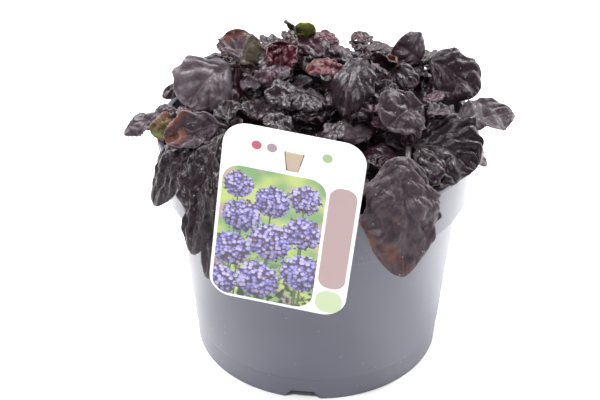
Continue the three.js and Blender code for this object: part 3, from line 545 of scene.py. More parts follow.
def leaf_points(leaf, shares, across, detail=None):
    """The leaf's middle surface over shares of its length by places across it from -1 to 1. The midrib is
    a cubic curve from root to tip. Across it the blade is an arc of angle cup, its half width a fullness
    power of a sine along the blade with a scalloped edge, and its edge waves by a sine of its own. detail
    gives, over the same grid, how far each point moves outwards in the blade and up from it."""
    shares = np.asarray(shares, float)
    v = np.asarray(across, float)[None, :]
    chord = leaf["tip"] - leaf["root"]
    length = np.linalg.norm(chord)
    bearing = math.atan2(chord[1], chord[0])
    first = bearing - leaf["turn"] / 2 * DEGREE
    last = bearing + leaf["turn"] / 2 * DEGREE
    start = leaf["root"] + slope_at(first, leaf["rise"] * DEGREE) * leaf["bow"] * length
    end = leaf["tip"] - slope_at(last, leaf["fall"] * DEGREE) * leaf["hang"] * length
    t = shares[:, None]
    s = 1 - t
    middle = s**3 * leaf["root"] + 3 * s * s * t * start + 3 * s * t * t * end + t**3 * leaf["tip"]
    along = unit(s * s * (start - leaf["root"]) + 2 * s * t * (end - start) + t * t * (leaf["tip"] - end))
    heading = between(first, last, shares)
    side = np.stack([-np.sin(heading), np.cos(heading), np.zeros_like(heading)], axis=-1)
    side = unit(side - (side * along).sum(axis=-1, keepdims=True) * along)
    blade = np.maximum(0, (t - leaf["petiole"]) / (1 - leaf["petiole"]))
    roll = leaf["roll"] * DEGREE * eased(t, 0, leaf["petiole"])
    side = side * np.cos(roll) + np.cross(along, side) * np.sin(roll)
    up = np.cross(along, side)

    swell = np.maximum(0, np.sin(np.pi * blade))
    full = np.maximum(0, np.sin(np.pi * blade ** LEAF["broadest"])) ** LEAF["fullness"]
    scallops = size_of(leaf)["blade_steps"] / 2
    scallop = 1 - LEAF["scallop"] * np.cos(2 * np.pi * scallops * blade) * swell**0.3
    narrow = LEAF["petiole_half_width"]
    half = narrow + (leaf["width"] / 2 - narrow) * full * scallop
    cup = leaf["cup"] * DEGREE * np.sin(np.pi * np.minimum(blade, 0.5)) + 1e-6
    angle = cup * v
    beat = 2 * np.pi * LEAF["waves"] * blade + leaf["phase"] + LEAF["wave_shift"] * np.sign(v)
    lift = half * (1 - np.cos(angle)) / cup + leaf["wave"] * v * v * np.sin(beat) * swell
    out = half * np.sin(angle) / cup
    outwards, raised = detail(blade, v, half, length) if detail else (0, 0)
    out = out + outwards * np.cos(angle) - raised * np.sin(angle)
    lift = lift + outwards * np.sin(angle) + raised * np.cos(angle)
    return keep_clear(middle[:, None] + side[:, None] * out[..., None] + up[:, None] * lift[..., None])


def built_shares(leaf):
    """The shares of the leaf's length at which its plain form has rows."""
    size = size_of(leaf)
    stalk = even(size["petiole_steps"])[:-1] * leaf["petiole"]
    return np.concatenate([stalk, leaf["petiole"] + even(size["blade_steps"]) * (1 - leaf["petiole"])])


def probes_of(leaf):
    """Points on the smooth leaf, and all over the flat facets between the rows of its plain form, with each
    one's share of the blade's length."""
    shares = even(PROBES["along"])
    smooth = leaf_points(leaf, shares, np.linspace(-1, 1, PROBES["across"] + 1))
    built = built_shares(leaf)
    rows = leaf_points(leaf, built, np.linspace(-1, 1, size_of(leaf)["across"] + 1))
    parts = even(PROBES["facet"])
    along = parts[:, None, None, None, None]
    left = between(rows[:-1, :-1], rows[1:, :-1], along)
    right = between(rows[:-1, 1:], rows[1:, 1:], along)
    facets = between(left, right, parts[None, :, None, None, None])
    facet_shares = between(built[:-1, None], built[1:, None], parts[:, None, None, None])

    grids = ((shares[:, None], smooth), (facet_shares, facets))
    places = np.concatenate([np.broadcast_to(share, grid.shape[:-1]).ravel() for share, grid in grids])
    return {
        "points": np.concatenate([smooth.reshape(-1, 3), facets.reshape(-1, 3)]),
        "facets": facets.reshape(-1, 3),
        "blade": (places - leaf["petiole"]) / (1 - leaf["petiole"]),
    }


# Air: a grid of cells that remembers which shoot has a piece in or near each of them

air_steps = [math.ceil(2 * AIR["half"] / AIR["cell"])] * 2 + [math.ceil(AIR["height"] / AIR["cell"])]
air = np.zeros(air_steps, np.uint8)
NOBODY = 255


def cells_of(points):
    """The cell of each point, kept off the grid's border."""
    lowest = np.array([-AIR["half"], -AIR["half"], AIR["bottom"]])
    cells = np.floor((points - lowest) / AIR["cell"]).astype(int)
    return np.clip(cells, AIR["border"], np.array(air_steps) - 1 - AIR["border"])


def take_air(points, owner, reach):
    """Marks the cells within a ball of reach round each point as the owner's."""
    cells = cells_of(points)
    steps = range(-reach, reach + 1)
    for a in steps:
        for b in steps:
            for c in steps:
                if a * a + b * b + c * c <= reach**2:
                    air[cells[:, 0] + a, cells[:, 1] + b, cells[:, 2] + c] = owner


# Drawing the other leaves

class Draw:
    """A seeded draw of numbers from 0 to 1, by a remainder rule."""

    def __init__(self, seed):
        self.state = seed

    def __call__(self):
        self.state = (self.state * 1664525 + 1013904223) % 2**32
        return self.state / 2**32

    def spread(self, width):
        """A draw from a range of this width about 0."""
        return width * (self() - 0.5)


draw = Draw(DRAWN["seed"])


def stem_place(shoot, share):
    """The point at a share of the way up a shoot's stem."""
    foot = np.array([*shoot["foot"], soil_height(*shoot["foot"])])
    return between(foot, np.array(shoot["tip"], float), share)


def draw_leaf(shoot, level, side, attempt, rule):
    """One leaf drawn by a rule: near the rim those that point outwards are longer and hang lower, and on
    every shoot the leaves get smaller and stand up more towards the tip."""
    height = level / (rule["levels"] - 1)
    near_rim = (math.hypot(*shoot["foot"]) - rule["inner"]) / (rule["outer"] - rule["inner"])
    ring = min(1, max(0, near_rim))
    out = math.atan2(shoot["foot"][1], shoot["foot"][0])
    bearing = out + (shoot["turn"] + 90 * level + rule["apart"] * side + draw.spread(60)) * DEGREE
    outward = ring * (1 + math.cos(bearing - out)) / 2
    shrink = 1 - rule["shrink"] * attempt
    length = between(rule["longest"], rule["shortest"], height)
    length = length * (0.8 + 0.4 * outward + draw.spread(0.3)) * shrink
    width = length * (0.72 + 0.16 * draw())
    rise = between(45, 65, height) + 12 * outward + draw.spread(16)
    fall = between(-60, 40, height) - 20 * outward + draw.spread(30)
    lift = min(0.9, between(0.1, 0.6, height) - 0.5 * outward + draw.spread(0.3))
    roll = draw.spread(40)
    turn = draw.spread(50)
    cup = between(-32, 20, height) + draw.spread(20)
    wave = 0.05 * width * (0.5 + draw())
    phase = 2 * math.pi * draw()
    root = stem_place(shoot, between(between(0.3, 0.75, outward), 1, height))
    reach = length * math.sqrt(1 - lift * lift)
    tip = root + [reach * math.cos(bearing), reach * math.sin(bearing), length * lift]
    return new_leaf(
        tip, rise, fall, width, by_hand=False, root=root, roll=roll, turn=turn, cup=cup, wave=wave,
        phase=phase, petiole=rule["petiole"], hang=USUAL["hang"] + 0.15 * outward,
    )


def leaf_fits(probes, owner, rule):
    """Whether a leaf stays in the mound, clear of the rim, of other shoots and of its own shoot's blades."""
    points = probes["points"]
    radius = np.hypot(points[:, 0], points[:, 1])
    top = rule["top"] - rule["drop"] * (radius / rule["drop_radius"]) ** 1.6
    if (radius > rule["reach"]).any() or (points[:, 2] > top).any():
        return False
    if (rim_distance(probes["facets"]) < rim_half + CLEAR["facet"]).any():
        return False
    cells = cells_of(points)
    taken = air[cells[:, 0], cells[:, 1], cells[:, 2]]
    return bool(((taken == 0) | ((taken == owner) & (probes["blade"] <= rule["own_blade"]))).all())


def place_hand_leaves(shoots):
    """Roots each leaf that is given one by one on its stem and takes its air."""
    count = 0
    for owner, shoot in enumerate(shoots.values(), start=1):
        for one in shoot["leaves"]:
            one["phase"] = 1.7 * count
            one["root"] = stem_place(shoot, one["start"])
            count += 1
            take_air(probes_of(one)["points"], owner, DRAWN["air"])


def place_drawn_leaf(shoot, owner, level, side, rule):
    """Adds the first of some drawn leaves that fits, if any does. Each is a little smaller than the last."""
    for attempt in range(rule["tries"]):
        one = draw_leaf(shoot, level, side, attempt, rule)
        probes = probes_of(one)
        if leaf_fits(probes, owner, rule):
            take_air(probes["points"], owner, rule["air"])
            shoot["leaves"].append(one)
            return


def place_drawn_leaves(shoots):
    """Fills the levels from the lowest up, and on each the shoots from the rim inwards."""
    for shoot in shoots.values():
        shoot["turn"] = draw.spread(60)
    from_rim = sorted(enumerate(shoots.values(), start=1), key=lambda each: -math.hypot(*each[1]["foot"]))
    for level in range(DRAWN["levels"]):
        for owner, shoot in from_rim:
            if level == 0 and math.hypot(*shoot["foot"]) < DRAWN["low_leaves"]:
                continue
            for side in range(DRAWN["sides"]):
                place_drawn_leaf(shoot, owner, level, side, DRAWN)


def mark_others(shoots, reach):
    """Marks the air that the card, the peg and the stems take."""
    across, up = np.meshgrid(even(PROBES["card"]) - 0.5, even(PROBES["card"]) - 0.5)
    card = np.stack([across * CARD["width"], 0 * across, up * CARD["height"]], axis=-1)
    take_air(from_card(card.reshape(-1, 3)), NOBODY, reach)
    take_air(between(*peg_line(), even(PROBES["peg"])[:, None]), NOBODY, reach)
    for owner, shoot in enumerate(shoots.values(), start=1):
        take_air(np.array([stem_place(shoot, share) for share in even(PROBES["stem"])]), owner, reach)


def grow():
    """Every shoot with the leaves that its solid has, where the air grid lets them be."""
    shoots = {
        name: {"foot": foot, "tip": tip, "leaves": list(leaves)}
        for name, (foot, tip, leaves) in SHOOTS.items()
    }
    mark_others(shoots, DRAWN["air"])
    place_hand_leaves(shoots)
    place_drawn_leaves(shoots)
    return shoots


def fill_in(shoots):
    """Adds small leaves from the tips down, wherever they stay clear of the others by a cell of air."""
    air[:] = 0
    draw.state = SMALL_LEAVES["seed"]
    mark_others(shoots, SMALL_LEAVES["air"])
    for owner, shoot in enumerate(shoots.values(), start=1):
        for one in shoot["leaves"]:
            take_air(probes_of(one)["points"], owner, SMALL_LEAVES["air"])
    for level in reversed(range(SMALL_LEAVES["levels"])):
        for owner, shoot in enumerate(shoots.values(), start=1):
            for side in range(SMALL_LEAVES["sides"]):
                place_drawn_leaf(shoot, owner, level, side, SMALL_LEAVES)


# Fine leaves and stems

def side_veins(leaf, blade, v, length):
    """Where a point lies among the side veins, counted from the leaf's base: whole numbers are on a vein.
    Each vein leaves the midrib and bends forward by a power of the place across."""
    skin = SKINS[leaf["skin"]]
    count = max(3, round(length * (1 - leaf["petiole"]) / skin["apart"]))
    return count * (blade - skin["bend"] * np.abs(v) ** 0.85)


def relief_of(leaf, seed):
    """The leaf's relief as a function over its grid: a rounded fold between each two side veins, a groove
    along the midrib, cushions, a loose crumple, the edge turned under, and a ruffle and small rounded teeth
    along it. It gives how far each point moves outwards and up, and fades out at the blade's two ends."""
    skin = SKINS[leaf["skin"]]
    small = min(1, leaf["width"] / RELIEF["full_width"])
    phase = np.random.default_rng(seed).uniform(0, 2 * np.pi, 4)

    def detail(blade, v, half, length):
        x = v * half / small
        y = blade * length / small
        side = np.sign(v)
        wander = RELIEF["wander"] * ripple(x, y, RELIEF["wander_size"], seed + 8)
        veins = side_veins(leaf, blade, v, length) + wander
        fold = np.abs(np.sin(np.pi * veins)) ** 0.8 * np.clip(3 * np.abs(v), 0, 1) - 0.5
        fold = fold * (0.8 + 0.4 * ripple(x, y, RELIEF["fold_size"], seed))
        groove = RELIEF["groove"] * np.exp(-((x / RELIEF["groove_half_width"]) ** 2))
        cushion = creased(x, 0.8 * y, RELIEF["cushion_size"], seed + 7)
        cushion = cushion + RELIEF["fine_cushion"] * creased(x, y, RELIEF["fine_cushion_size"], seed + 4)
        swell = RELIEF["swell"] * ripple(x, y, RELIEF["swell_size"], seed + 1)
        crease = RELIEF["crease"] * (0.4 - np.abs(ripple(x, y, RELIEF["crease_size"], seed + 2)))
        edge = np.abs(v) ** 3
        beat = y / RELIEF["ruffle_pace"] + phase[0] + phase[1] * side
        ruffle = edge * np.sin(beat + 1.4 * ripple(y, x, RELIEF["ruffle_size"], seed + 3))
        teeth = np.abs(np.sin(y / RELIEF["tooth_pace"] + phase[2] + side)) - 0.5
        under = RELIEF["edge_under"] * np.abs(v) ** 7 + RELIEF["tip_under"] * blade**6
        raised = skin["fold"] * fold - groove + skin["cushion"] * cushion - under
        raised = raised + skin["crumple"] * (swell + crease) + skin["ruffle"] * ruffle
        inside = np.clip(6 * blade, 0, 1) * np.clip(8 * (1 - blade), 0, 1)
        height = between(RELIEF["least"], 1, small)
        return side * edge**2 * RELIEF["tooth"] * teeth * inside, raised * inside * height

    return detail


def faces_of_two_sides(rows, columns):
    """Faces of a thin body with an upper and a lower grid that share their border: the upper points come
    first, row by row, and then the lower ones inside the border."""
    upper = np.arange(rows * columns).reshape(rows, columns)
    lower = upper.copy()
    inner = (rows - 2) * (columns - 2)
    lower[1:-1, 1:-1] = rows * columns + np.arange(inner).reshape(rows - 2, columns - 2)
    faces = grid_faces(rows, columns)
    return faces.tolist() + lower.ravel()[faces][:, ::-1].tolist()


def two_sides(upper, lower):
    """The values of such a body's points, from those of its two grids."""
    return np.concatenate([grid.reshape(-1, grid.shape[-1]) for grid in (upper, lower[1:-1, 1:-1])])


def looks_of(leaf, seed):
    """A drawn leaf with its drawn tint and skin."""
    draws = np.random.default_rng(seed + 9)
    young = np.linalg.norm(leaf["tip"] - leaf["root"]) < YOUNG_LENGTH
    tints = DRAWN_TINTS + (YOUNG_TINTS if young else GROWN_TINTS)
    return {**leaf, "tint": str(draws.choice(tints)), "skin": str(draws.choice(DRAWN_SKINS))}


def leaf_colours(leaf, seed, blade, v, x, y):
    """The colours of a leaf's two sides: its tint in a drawn, uneven tone, with its blush in patches towards
    the tip, the stalk's colour at the root, and half way to plum below. Their alpha is 0 on the stalk, 1 on
    the blade and half that on its underside."""
    aside = x * np.sign(v)
    draws = np.random.default_rng(seed + 4)
    tone = draws.uniform(0.82, 1.22) * (1 + 0.16 * ripple(aside, y, 9, seed + 5))
    colour = TINTS[leaf["tint"]] * tone[..., None]
    if leaf["blush"]:
        name, start = leaf["blush"]
        patch = 0.25 * ripple(aside, y, 14, seed + 6) - 0.25 * v
        share = eased(blade + patch, start, start + 0.5) * eased(ripple(y, aside, 14, seed + 7), -0.8, 0)
        colour = between(colour, TINTS[name], 0.85 * share[..., None])
    stalk = eased(blade, 0.3, 0) * eased(x, 3.5, 0)
    colour = between(colour, TINTS["stalk"] * draws.uniform(0.6, 1.2), 0.85 * stalk[..., None])
    below = between(colour, TINTS["plum"], 0.5)
    on_blade = np.broadcast_to(eased(blade, 0, 0.1), x.shape)[..., None]
    return np.concatenate([colour, on_blade], axis=-1), np.concatenate([below, 0.5 * on_blade], axis=-1)


def fine_leaf(leaf, seed):
    """One leaf as a thin closed body: its middle surface with its relief, moved half its thickness up and
    down along the surface's normal, thinned to nothing at the edge, with a rib below the midrib. Its veins
    are each point's count of side veins and its distances from the midrib and from the edge."""
    if not leaf["by_hand"]:
        leaf = looks_of(leaf, seed)
    length = np.linalg.norm(leaf["tip"] - leaf["root"])
    rows = int(np.clip(length * FINE["slack"] / FINE["cell"], *FINE["rows"]))
    columns = 2 * int(np.clip(leaf["width"] / FINE["cell"] / 2, *FINE["half_columns"]))
    shares = even(rows)
    v = np.linspace(-1, 1, columns + 1)
    v = between(v, np.sin(np.pi / 2 * v), FINE["closer"])
    middle = leaf_points(leaf, shares, v, relief_of(leaf, seed))
    normal = unit(np.cross(np.gradient(middle, axis=0), np.gradient(middle, axis=1)))

    blade = np.maximum(0, (shares - leaf["petiole"]) / (1 - leaf["petiole"]))[:, None]
    taper = np.minimum(1, 4 * blade)
    thickness = between(LEAF["petiole_thickness"], LEAF["thickness"], taper)
    ends = np.minimum(1, np.minimum(shares, 1 - shares) * rows)[:, None]
    across = np.abs(v)[None, :]
    profile = np.sqrt(np.maximum(0, 1 - across ** (2 + 6 * taper))) * ends
    half = np.linalg.norm(middle[:, -1] - middle[:, 0], axis=-1)[:, None] / 2
    x = across * half
    rib = LEAF["rib"] * np.exp(-((x / LEAF["rib_half_width"]) ** 2)) * taper * (1 - blade)
    upper = middle + normal * (thickness / 2 * profile)[..., None]
    lower = middle - normal * ((thickness / 2 + rib) * profile)[..., None]
    count = side_veins(leaf, blade, v[None, :], length)
    veins = np.stack([count, x, half * (1 - across)], axis=-1)
    return {
        "points": two_sides(upper, lower),
        "faces": faces_of_two_sides(rows + 1, columns + 1),
        "tint": two_sides(*leaf_colours(leaf, seed, blade, v, x, blade * length)),
        "veins": two_sides(veins, veins),
    }


def tube(path, radii, sides):
    """Rings of radius radii round the points of a path, each square to it, from a fixed side direction."""
    along = unit(np.gradient(path, axis=0))
    right = unit(np.cross(along, [0.31, 0.95, 0]))
    front = np.cross(along, right)
    turn = np.linspace(0, 2 * np.pi, sides, endpoint=False)
    ring = right[:, None] * np.cos(turn)[None, :, None] + front[:, None] * np.sin(turn)[None, :, None]
    return path[:, None] + ring * np.asarray(radii)[:, None, None]


def stem_part(shoot, seed):
    """The stem: a round rod that sways a little, swells at its nodes and narrows from foot to tip, closed by
    a dome. It has no veins, so each point is put far from any."""
    foot = stem_place(shoot, 0)
    shares = even(STEM["steps"])
    path = stem_place(shoot, shares[:, None])
    sway = STEM["sway"] * np.sin(np.pi * shares) * np.sin(7 * shares + seed)
    path = path + sway[:, None] * np.array([0.8, 0.6, 0])
    path = np.concatenate([foot - [[0, 0, STEM["buried"]], [0, 0, STEM["buried"] / 2]], path])
    swell = 1 + STEM["swell"] * np.cos(2 * np.pi * STEM["nodes"] * shares) ** 4
    radii = np.concatenate([[STEM["foot"]] * 2, between(STEM["foot"], STEM["tip"], shares) * swell])
    radii[-2:] = STEM["dome"]
    rod = lofted(tube(path, radii, STEM["sides"]))
    points = rod["points"]
    height = eased(points[:, 2], foot[2], shoot["tip"][2])[:, None]
    tone = 1 + 0.2 * ripple(points[:, 2], points[:, 0], 8, seed)
    colour = between(TINTS["stalk"], TINTS["plum"], height) * tone[:, None]
    tint = np.concatenate([colour, 0 * height], axis=-1)
    return {**rod, "tint": tint, "veins": np.tile(NO_VEINS, (len(points), 1))}


def make_shoots(material):
    """Each shoot as one piece: its stem and its leaves, each leaf with a seed of its own."""
    seed = 100
    shoots = grow()
    fill_in(shoots)
    for name, shoot in shoots.items():
        parts = [stem_part(shoot, seed)]
        for one in shoot["leaves"]:
            seed += 10
            parts.append(fine_leaf(one, seed))
        mesh_piece(f"leafy_shoot_{name}", joined(parts), material, f"shoot_{name}")
        seed += 10


# The pot

def softened(outline, radius, steps=4):
    """An open outline with each inner corner replaced by a parabola that begins radius before it, or less
    where its sides are short."""
    corner = outline[1:-1, None]
    before = outline[:-2, None] - corner
    after = outline[2:, None] - corner
    far = np.linalg.norm(before, axis=-1, keepdims=True)
    near = np.linalg.norm(after, axis=-1, keepdims=True)
    a = corner + before * np.minimum(radius / far, 0.4)
    b = corner + after * np.minimum(radius / near, 0.4)
    t = even(steps)[None, :, None]
    bends = (1 - t) ** 2 * a + 2 * t * (1 - t) * corner + t * t * b
    return np.concatenate([outline[:1], bends.reshape(-1, 2), outline[-1:]])


def turned(profile, sides):
    """Rings round the upright axis through each radius and height of a profile."""
    turn = np.linspace(0, 2 * np.pi, sides, endpoint=False)
    radius = profile[:, 0][:, None]
    height = np.broadcast_to(profile[:, 1][:, None], (len(profile), sides))
    return np.stack([radius * np.cos(turn), radius * np.sin(turn), height], axis=-1)


def pot_profile():
    """Radius and height from the middle of the underside, up the outside, over the lip and down inside."""
    height = POT["height"]
    foot = POT["foot_radius"]
    wall = POT["wall"]
    base = POT["base_top"]
    lip = POT["lip_radius"]
    lip_bottom = height - POT["lip_height"]
    outline = [
        [NEAR_AXIS, base - wall],
        [foot - 1.2 * wall, base - wall],
        [foot - wall, 0],
        [foot, 0],
        [foot + POT["foot_slant"], POT["body_bottom"] - POT["foot_groove"]],
        [POT["body_bottom_radius"], POT["body_bottom"]],
        [POT["body_top_radius"], POT["collar_bottom"]],
        [POT["collar_bottom_radius"], POT["collar_bottom"] + POT["collar_slant"]],
        [collar_top_radius, lip_bottom],
        [lip, lip_bottom + POT["lip_slant"]],
        [lip, height],
        [inner_top_radius, height],
        [inner_collar_radius, shelf],
        [inner_body_top_radius, shelf - POT["collar_slant"]],
        [inner_base_radius, base],
        [NEAR_AXIS, base],
    ]
    return softened(np.array(outline, float), POT["rounding"])


def wedge(below, above, bottom, top):
    """A four-cornered outline, below wide at the bottom and above wide at the top."""
    return np.array([[-below / 2, bottom], [below / 2, bottom], [above / 2, top], [-above / 2, top]])


def turned_about_axis(points, bearing):
    """Points turned about the upright axis, from the x axis to a bearing."""
    c = math.cos(bearing)
    s = math.sin(bearing)
    return points @ np.array([[c, s, 0], [-s, c, 0], [0, 0, 1]])


def cut_away(piece, cutters, sharp):
    """Cuts the closed bodies out of a piece's mesh, and shades it again."""
    tool = put_mesh("cutter", cutters)
    cut = piece.modifiers.new("cut", "BOOLEAN")
    cut.operation = "DIFFERENCE"
    cut.solver = "EXACT"
    cut.object = tool
    whole = piece.evaluated_get(bpy.context.evaluated_depsgraph_get())
    done = bpy.data.meshes.new_from_object(whole)
    piece.modifiers.clear()
    piece.data = done
    bpy.data.objects.remove(tool)
    shade_mesh(done, sharp)


def notch_cutter(i):
    """A bar through the foot ring, wider below than above, which leaves one notch."""
    section = wedge(NOTCH["below"] + 2, NOTCH["above"], -1, NOTCH["height"])
    depth = 3 * POT["wall"]
    rings = [
        np.stack([np.full(4, POT["foot_radius"] + reach), section[:, 0], section[:, 1]], axis=-1)
        for reach in (-depth, depth)
    ]
    bearing = (NOTCH["bearing"] + 360 * i / NOTCH["count"]) * DEGREE
    return lofted(turned_about_axis(np.array(rings), bearing))


def drain_cutter(i):
    """A round rod through the floor, which leaves one drain hole."""
    profile = np.array([[DRAIN["radius"], 2], [DRAIN["radius"], 2 * POT["base_top"]]], float)
    bearing = 2 * np.pi * (i + 0.5) / DRAIN["count"]
    centre = DRAIN["circle"] * np.array([math.cos(bearing), math.sin(bearing), 0])
    return lofted(turned(profile, DRAIN["sides"]) + centre)


def make_pot(material):
    """The pot: its profile turned, with the notches and the drain holes cut out."""
    pot = lofted(turned(pot_profile(), POT["sides"]))
    piece = mesh_piece("nursery_pot", pot, material, "pot")
    notches = [notch_cutter(i) for i in range(NOTCH["count"])]
    drains = [drain_cutter(i) for i in range(DRAIN["count"])]
    cut_away(piece, joined(notches + drains), POT["sharp"])


# The soil

def soil_top(x, y):
    """The mound with its lumps: long low waves, rounded clods of two sizes and a soft ripple."""
    lump = SOIL["lump"] * np.sin(x / 7 + 1) * np.cos(y / 6)
    clods = 1.3 * domes(x, y, 5.5, 31) + 0.8 * domes(x, y, 2.4, 32)
    return soil_height(x, y) + lump + clods - 1.2 + 0.6 * ripple(x, y, 12, 33)


def make_soil(material):
    """The soil: its walls a gap inside the pot's, its top the mound in rings, and crumbs on it."""
    top = inner_collar_radius + SOIL["spread"] - GAP
    profile = np.array([
        [NEAR_AXIS, POT["base_top"] + GAP],
        [inner_base_radius - GAP, POT["base_top"] + GAP],
        [inner_body_top_radius - GAP, shelf + GAP],
        [inner_collar_radius - GAP, shelf + GAP],
        [top, SOIL["edge"]],
    ])
    walls = turned(profile, SOIL["sides"])
    radii = top * (1 - even(SOIL["rings"])[1:-1])
    surface = turned(np.stack([radii, radii], axis=-1), SOIL["sides"])
    surface[..., 2] = soil_top(surface[..., 0], surface[..., 1])
    body = lofted(np.concatenate([walls, surface]))
    mesh_piece("potting_soil", joined([body] + crumbs()), material, "soil")


def twenty_faced():
    """The corners and outward faces of a regular body of twenty triangles with edges 2 long: its corners are
    those of three golden rectangles, and three corners that are all 2 apart make a face."""
    gold = (1 + math.sqrt(5)) / 2
    corners = np.array([[0, a, b * gold] for a in (-1, 1) for b in (-1, 1)], float)
    corners = np.concatenate([corners, np.roll(corners, 1, axis=1), np.roll(corners, 2, axis=1)])
    near = np.abs(np.linalg.norm(corners[:, None] - corners[None], axis=-1) - 2) < 0.01
    faces = []
    for a, b, c in itertools.combinations(range(12), 3):
        if near[a, b] and near[b, c] and near[a, c]:
            turn = np.cross(corners[b] - corners[a], corners[c] - corners[a])
            faces.append([a, b, c] if turn @ corners[a] > 0 else [a, c, b])
    return corners, faces


def crumbs():
    """Loose crumbs on the soil: small uneven lumps of twenty faces at drawn places, half sunk in."""
    corners, faces = twenty_faced()
    corners = corners / 1.9
    draws = np.random.default_rng(CRUMBS["seed"])
    made = []
    for _ in range(CRUMBS["count"]):
        bearing = draws.uniform(0, 2 * np.pi)
        radius = CRUMBS["reach"] * math.sqrt(draws.random())
        x = radius * math.cos(bearing)
        y = radius * math.sin(bearing)
        size = draws.uniform(CRUMBS["smallest"], CRUMBS["largest"]) * draws.uniform(0.7, 1.3, 3)
        shape = corners * size * draws.uniform(0.8, 1.15, (12, 1))
        made.append({"points": shape + [x, y, soil_top(x, y) + 0.2], "faces": faces})
    return made


# The card and the peg

def rounded_rectangle(width, height, corner, steps=12):
    """Points anticlockwise round a rectangle with round corners, a point every 4 mm along its straights."""
    bends = []
    for i, (sx, sz) in enumerate([(1, -1), (1, 1), (-1, 1), (-1, -1)]):
        centre = np.array([sx * (width / 2 - corner), sz * (height / 2 - corner)])
        turn = (np.arange(steps + 1) / steps + i - 1) * np.pi / 2
        bends.append(centre + corner * np.stack([np.cos(turn), np.sin(turn)], axis=-1))
    points = []
    for bend, following in zip(bends, bends[1:] + bends[:1]):
        start = bend[-1]
        end = following[0]
        count = max(2, round(float(np.linalg.norm(end - start)) / 4))
        points += [bend, between(start, end, (np.arange(1, count) / count)[:, None])]
    return np.concatenate(points)


def cast(outline, centre, directions):
    """Where rays from the centre meet a convex outline that runs anticlockwise."""
    edge = np.roll(outline, -1, axis=0) - outline
    outward = np.stack([edge[:, 1], -edge[:, 0]], axis=-1)
    depth = ((outline - centre) * outward).sum(axis=-1)
    facing = directions @ outward.T
    reach = np.where(facing > 1e-9, depth / np.where(facing > 1e-9, facing, 1), np.inf).min(axis=1)
    return centre + directions * reach[:, None]


def make_card(material):
    """The card: from its slot to its edge along rays from the slot's middle, in front and behind, with the
    two edges rounded over."""
    outer = rounded_rectangle(CARD["width"], CARD["height"], CARD["corner"])
    centre = np.array([0, (slot_top + slot_bottom) / 2])
    ray = unit(outer - centre)
    inner = cast(wedge(SLOT["below"], SLOT["above"], slot_bottom, slot_top), centre, ray)
    half = CARD["thickness"] / 2
    steps = even(16)
    rows = []
    for depth, shares in ((-half, steps), (half, steps[::-1])):
        for share in shares:
            place = between(inner, outer, share) + ray * CARD["round_over"] * (1 - 2 * share)
            rows.append(np.stack([place[:, 0], np.full(len(place), depth), place[:, 1]], axis=-1))
        edge = outer if depth < 0 else inner
        for level in (-0.5, 0.5):
            y = np.full(len(edge), -level * np.sign(depth) * half)
            rows.append(np.stack([edge[:, 0], y, edge[:, 1]], axis=-1))
    grid = np.array(rows)
    faces = grid_faces(len(grid) + 1, len(outer), around=True) % (len(grid) * len(outer))
    flat = grid.reshape(-1, 3)
    front = np.clip(-flat[:, 1] / half, 0, 1)
    part = {
        "points": from_card(flat),
        "faces": faces.tolist(),
        "print": np.stack([flat[:, 0], flat[:, 2], front], axis=-1),
    }
    mesh_piece("picture_card", part, material, "label_card", sharp=40)


def peg_strip():
    """The flat strip: a rounded section carried up out of the soil and out behind the card, in the upright
    plane through the slot's middle."""
    middle = peg_line()[1]
    path = softened(np.array([
        [PEG["foot_radius"], SOIL["edge"] - PEG["buried"]],
        [PEG["foot_radius"], SOIL["edge"] + PEG["rise"]],
        [math.hypot(middle[0], middle[1]), middle[2] + PEG["rise"]],
    ]), PEG["bend"], 8)
    along = unit(np.gradient(path, axis=0))
    normal = np.stack([along[:, 1], -along[:, 0]], axis=-1)
    section = rounded_rectangle(PEG["thickness"], PEG["width"], PEG["corner"], 3)
    radius = path[:, 0][:, None] + normal[:, 0][:, None] * section[:, 0]
    height = path[:, 1][:, None] + normal[:, 1][:, None] * section[:, 0]
    across = np.broadcast_to(section[:, 1], radius.shape)
    rings = np.stack([radius, across, height], axis=-1)
    return lofted(turned_about_axis(rings, math.atan2(middle[1], middle[0])))


def peg_head():
    """The tapered head through the card's slot: a rounded wedge a gap inside the slot, its ends chamfered."""
    margin = 2.4 * GAP
    outline = wedge(SLOT["below"] - margin, SLOT["above"] - margin, slot_bottom + GAP, slot_top - GAP)
    outline = softened(np.concatenate([outline, outline[:2]]), PEG["head_bend"])[1:-1]
    heart = outline.mean(axis=0)
    deep = PEG["head"] + PEG["thickness"] / 2
    rings = []
    for shrink, y in ((0.93, 0), (0.99, 0.12), (1, 0.3), (1, deep - 0.3), (0.95, deep)):
        place = between(heart, outline, shrink)
        depth = np.full(len(place), PEG["head"] / 2 + deep / 2 - y)
        rings.append(np.stack([place[:, 0], depth, place[:, 1]], axis=-1))
    return lofted(from_card(np.array(rings)))


def make_peg(material):
    """The peg: its strip and its head."""
    peg = joined([peg_strip(), peg_head()])
    mesh_piece("label_peg_strip", peg, material, "label_peg", sharp=40)


# Materials

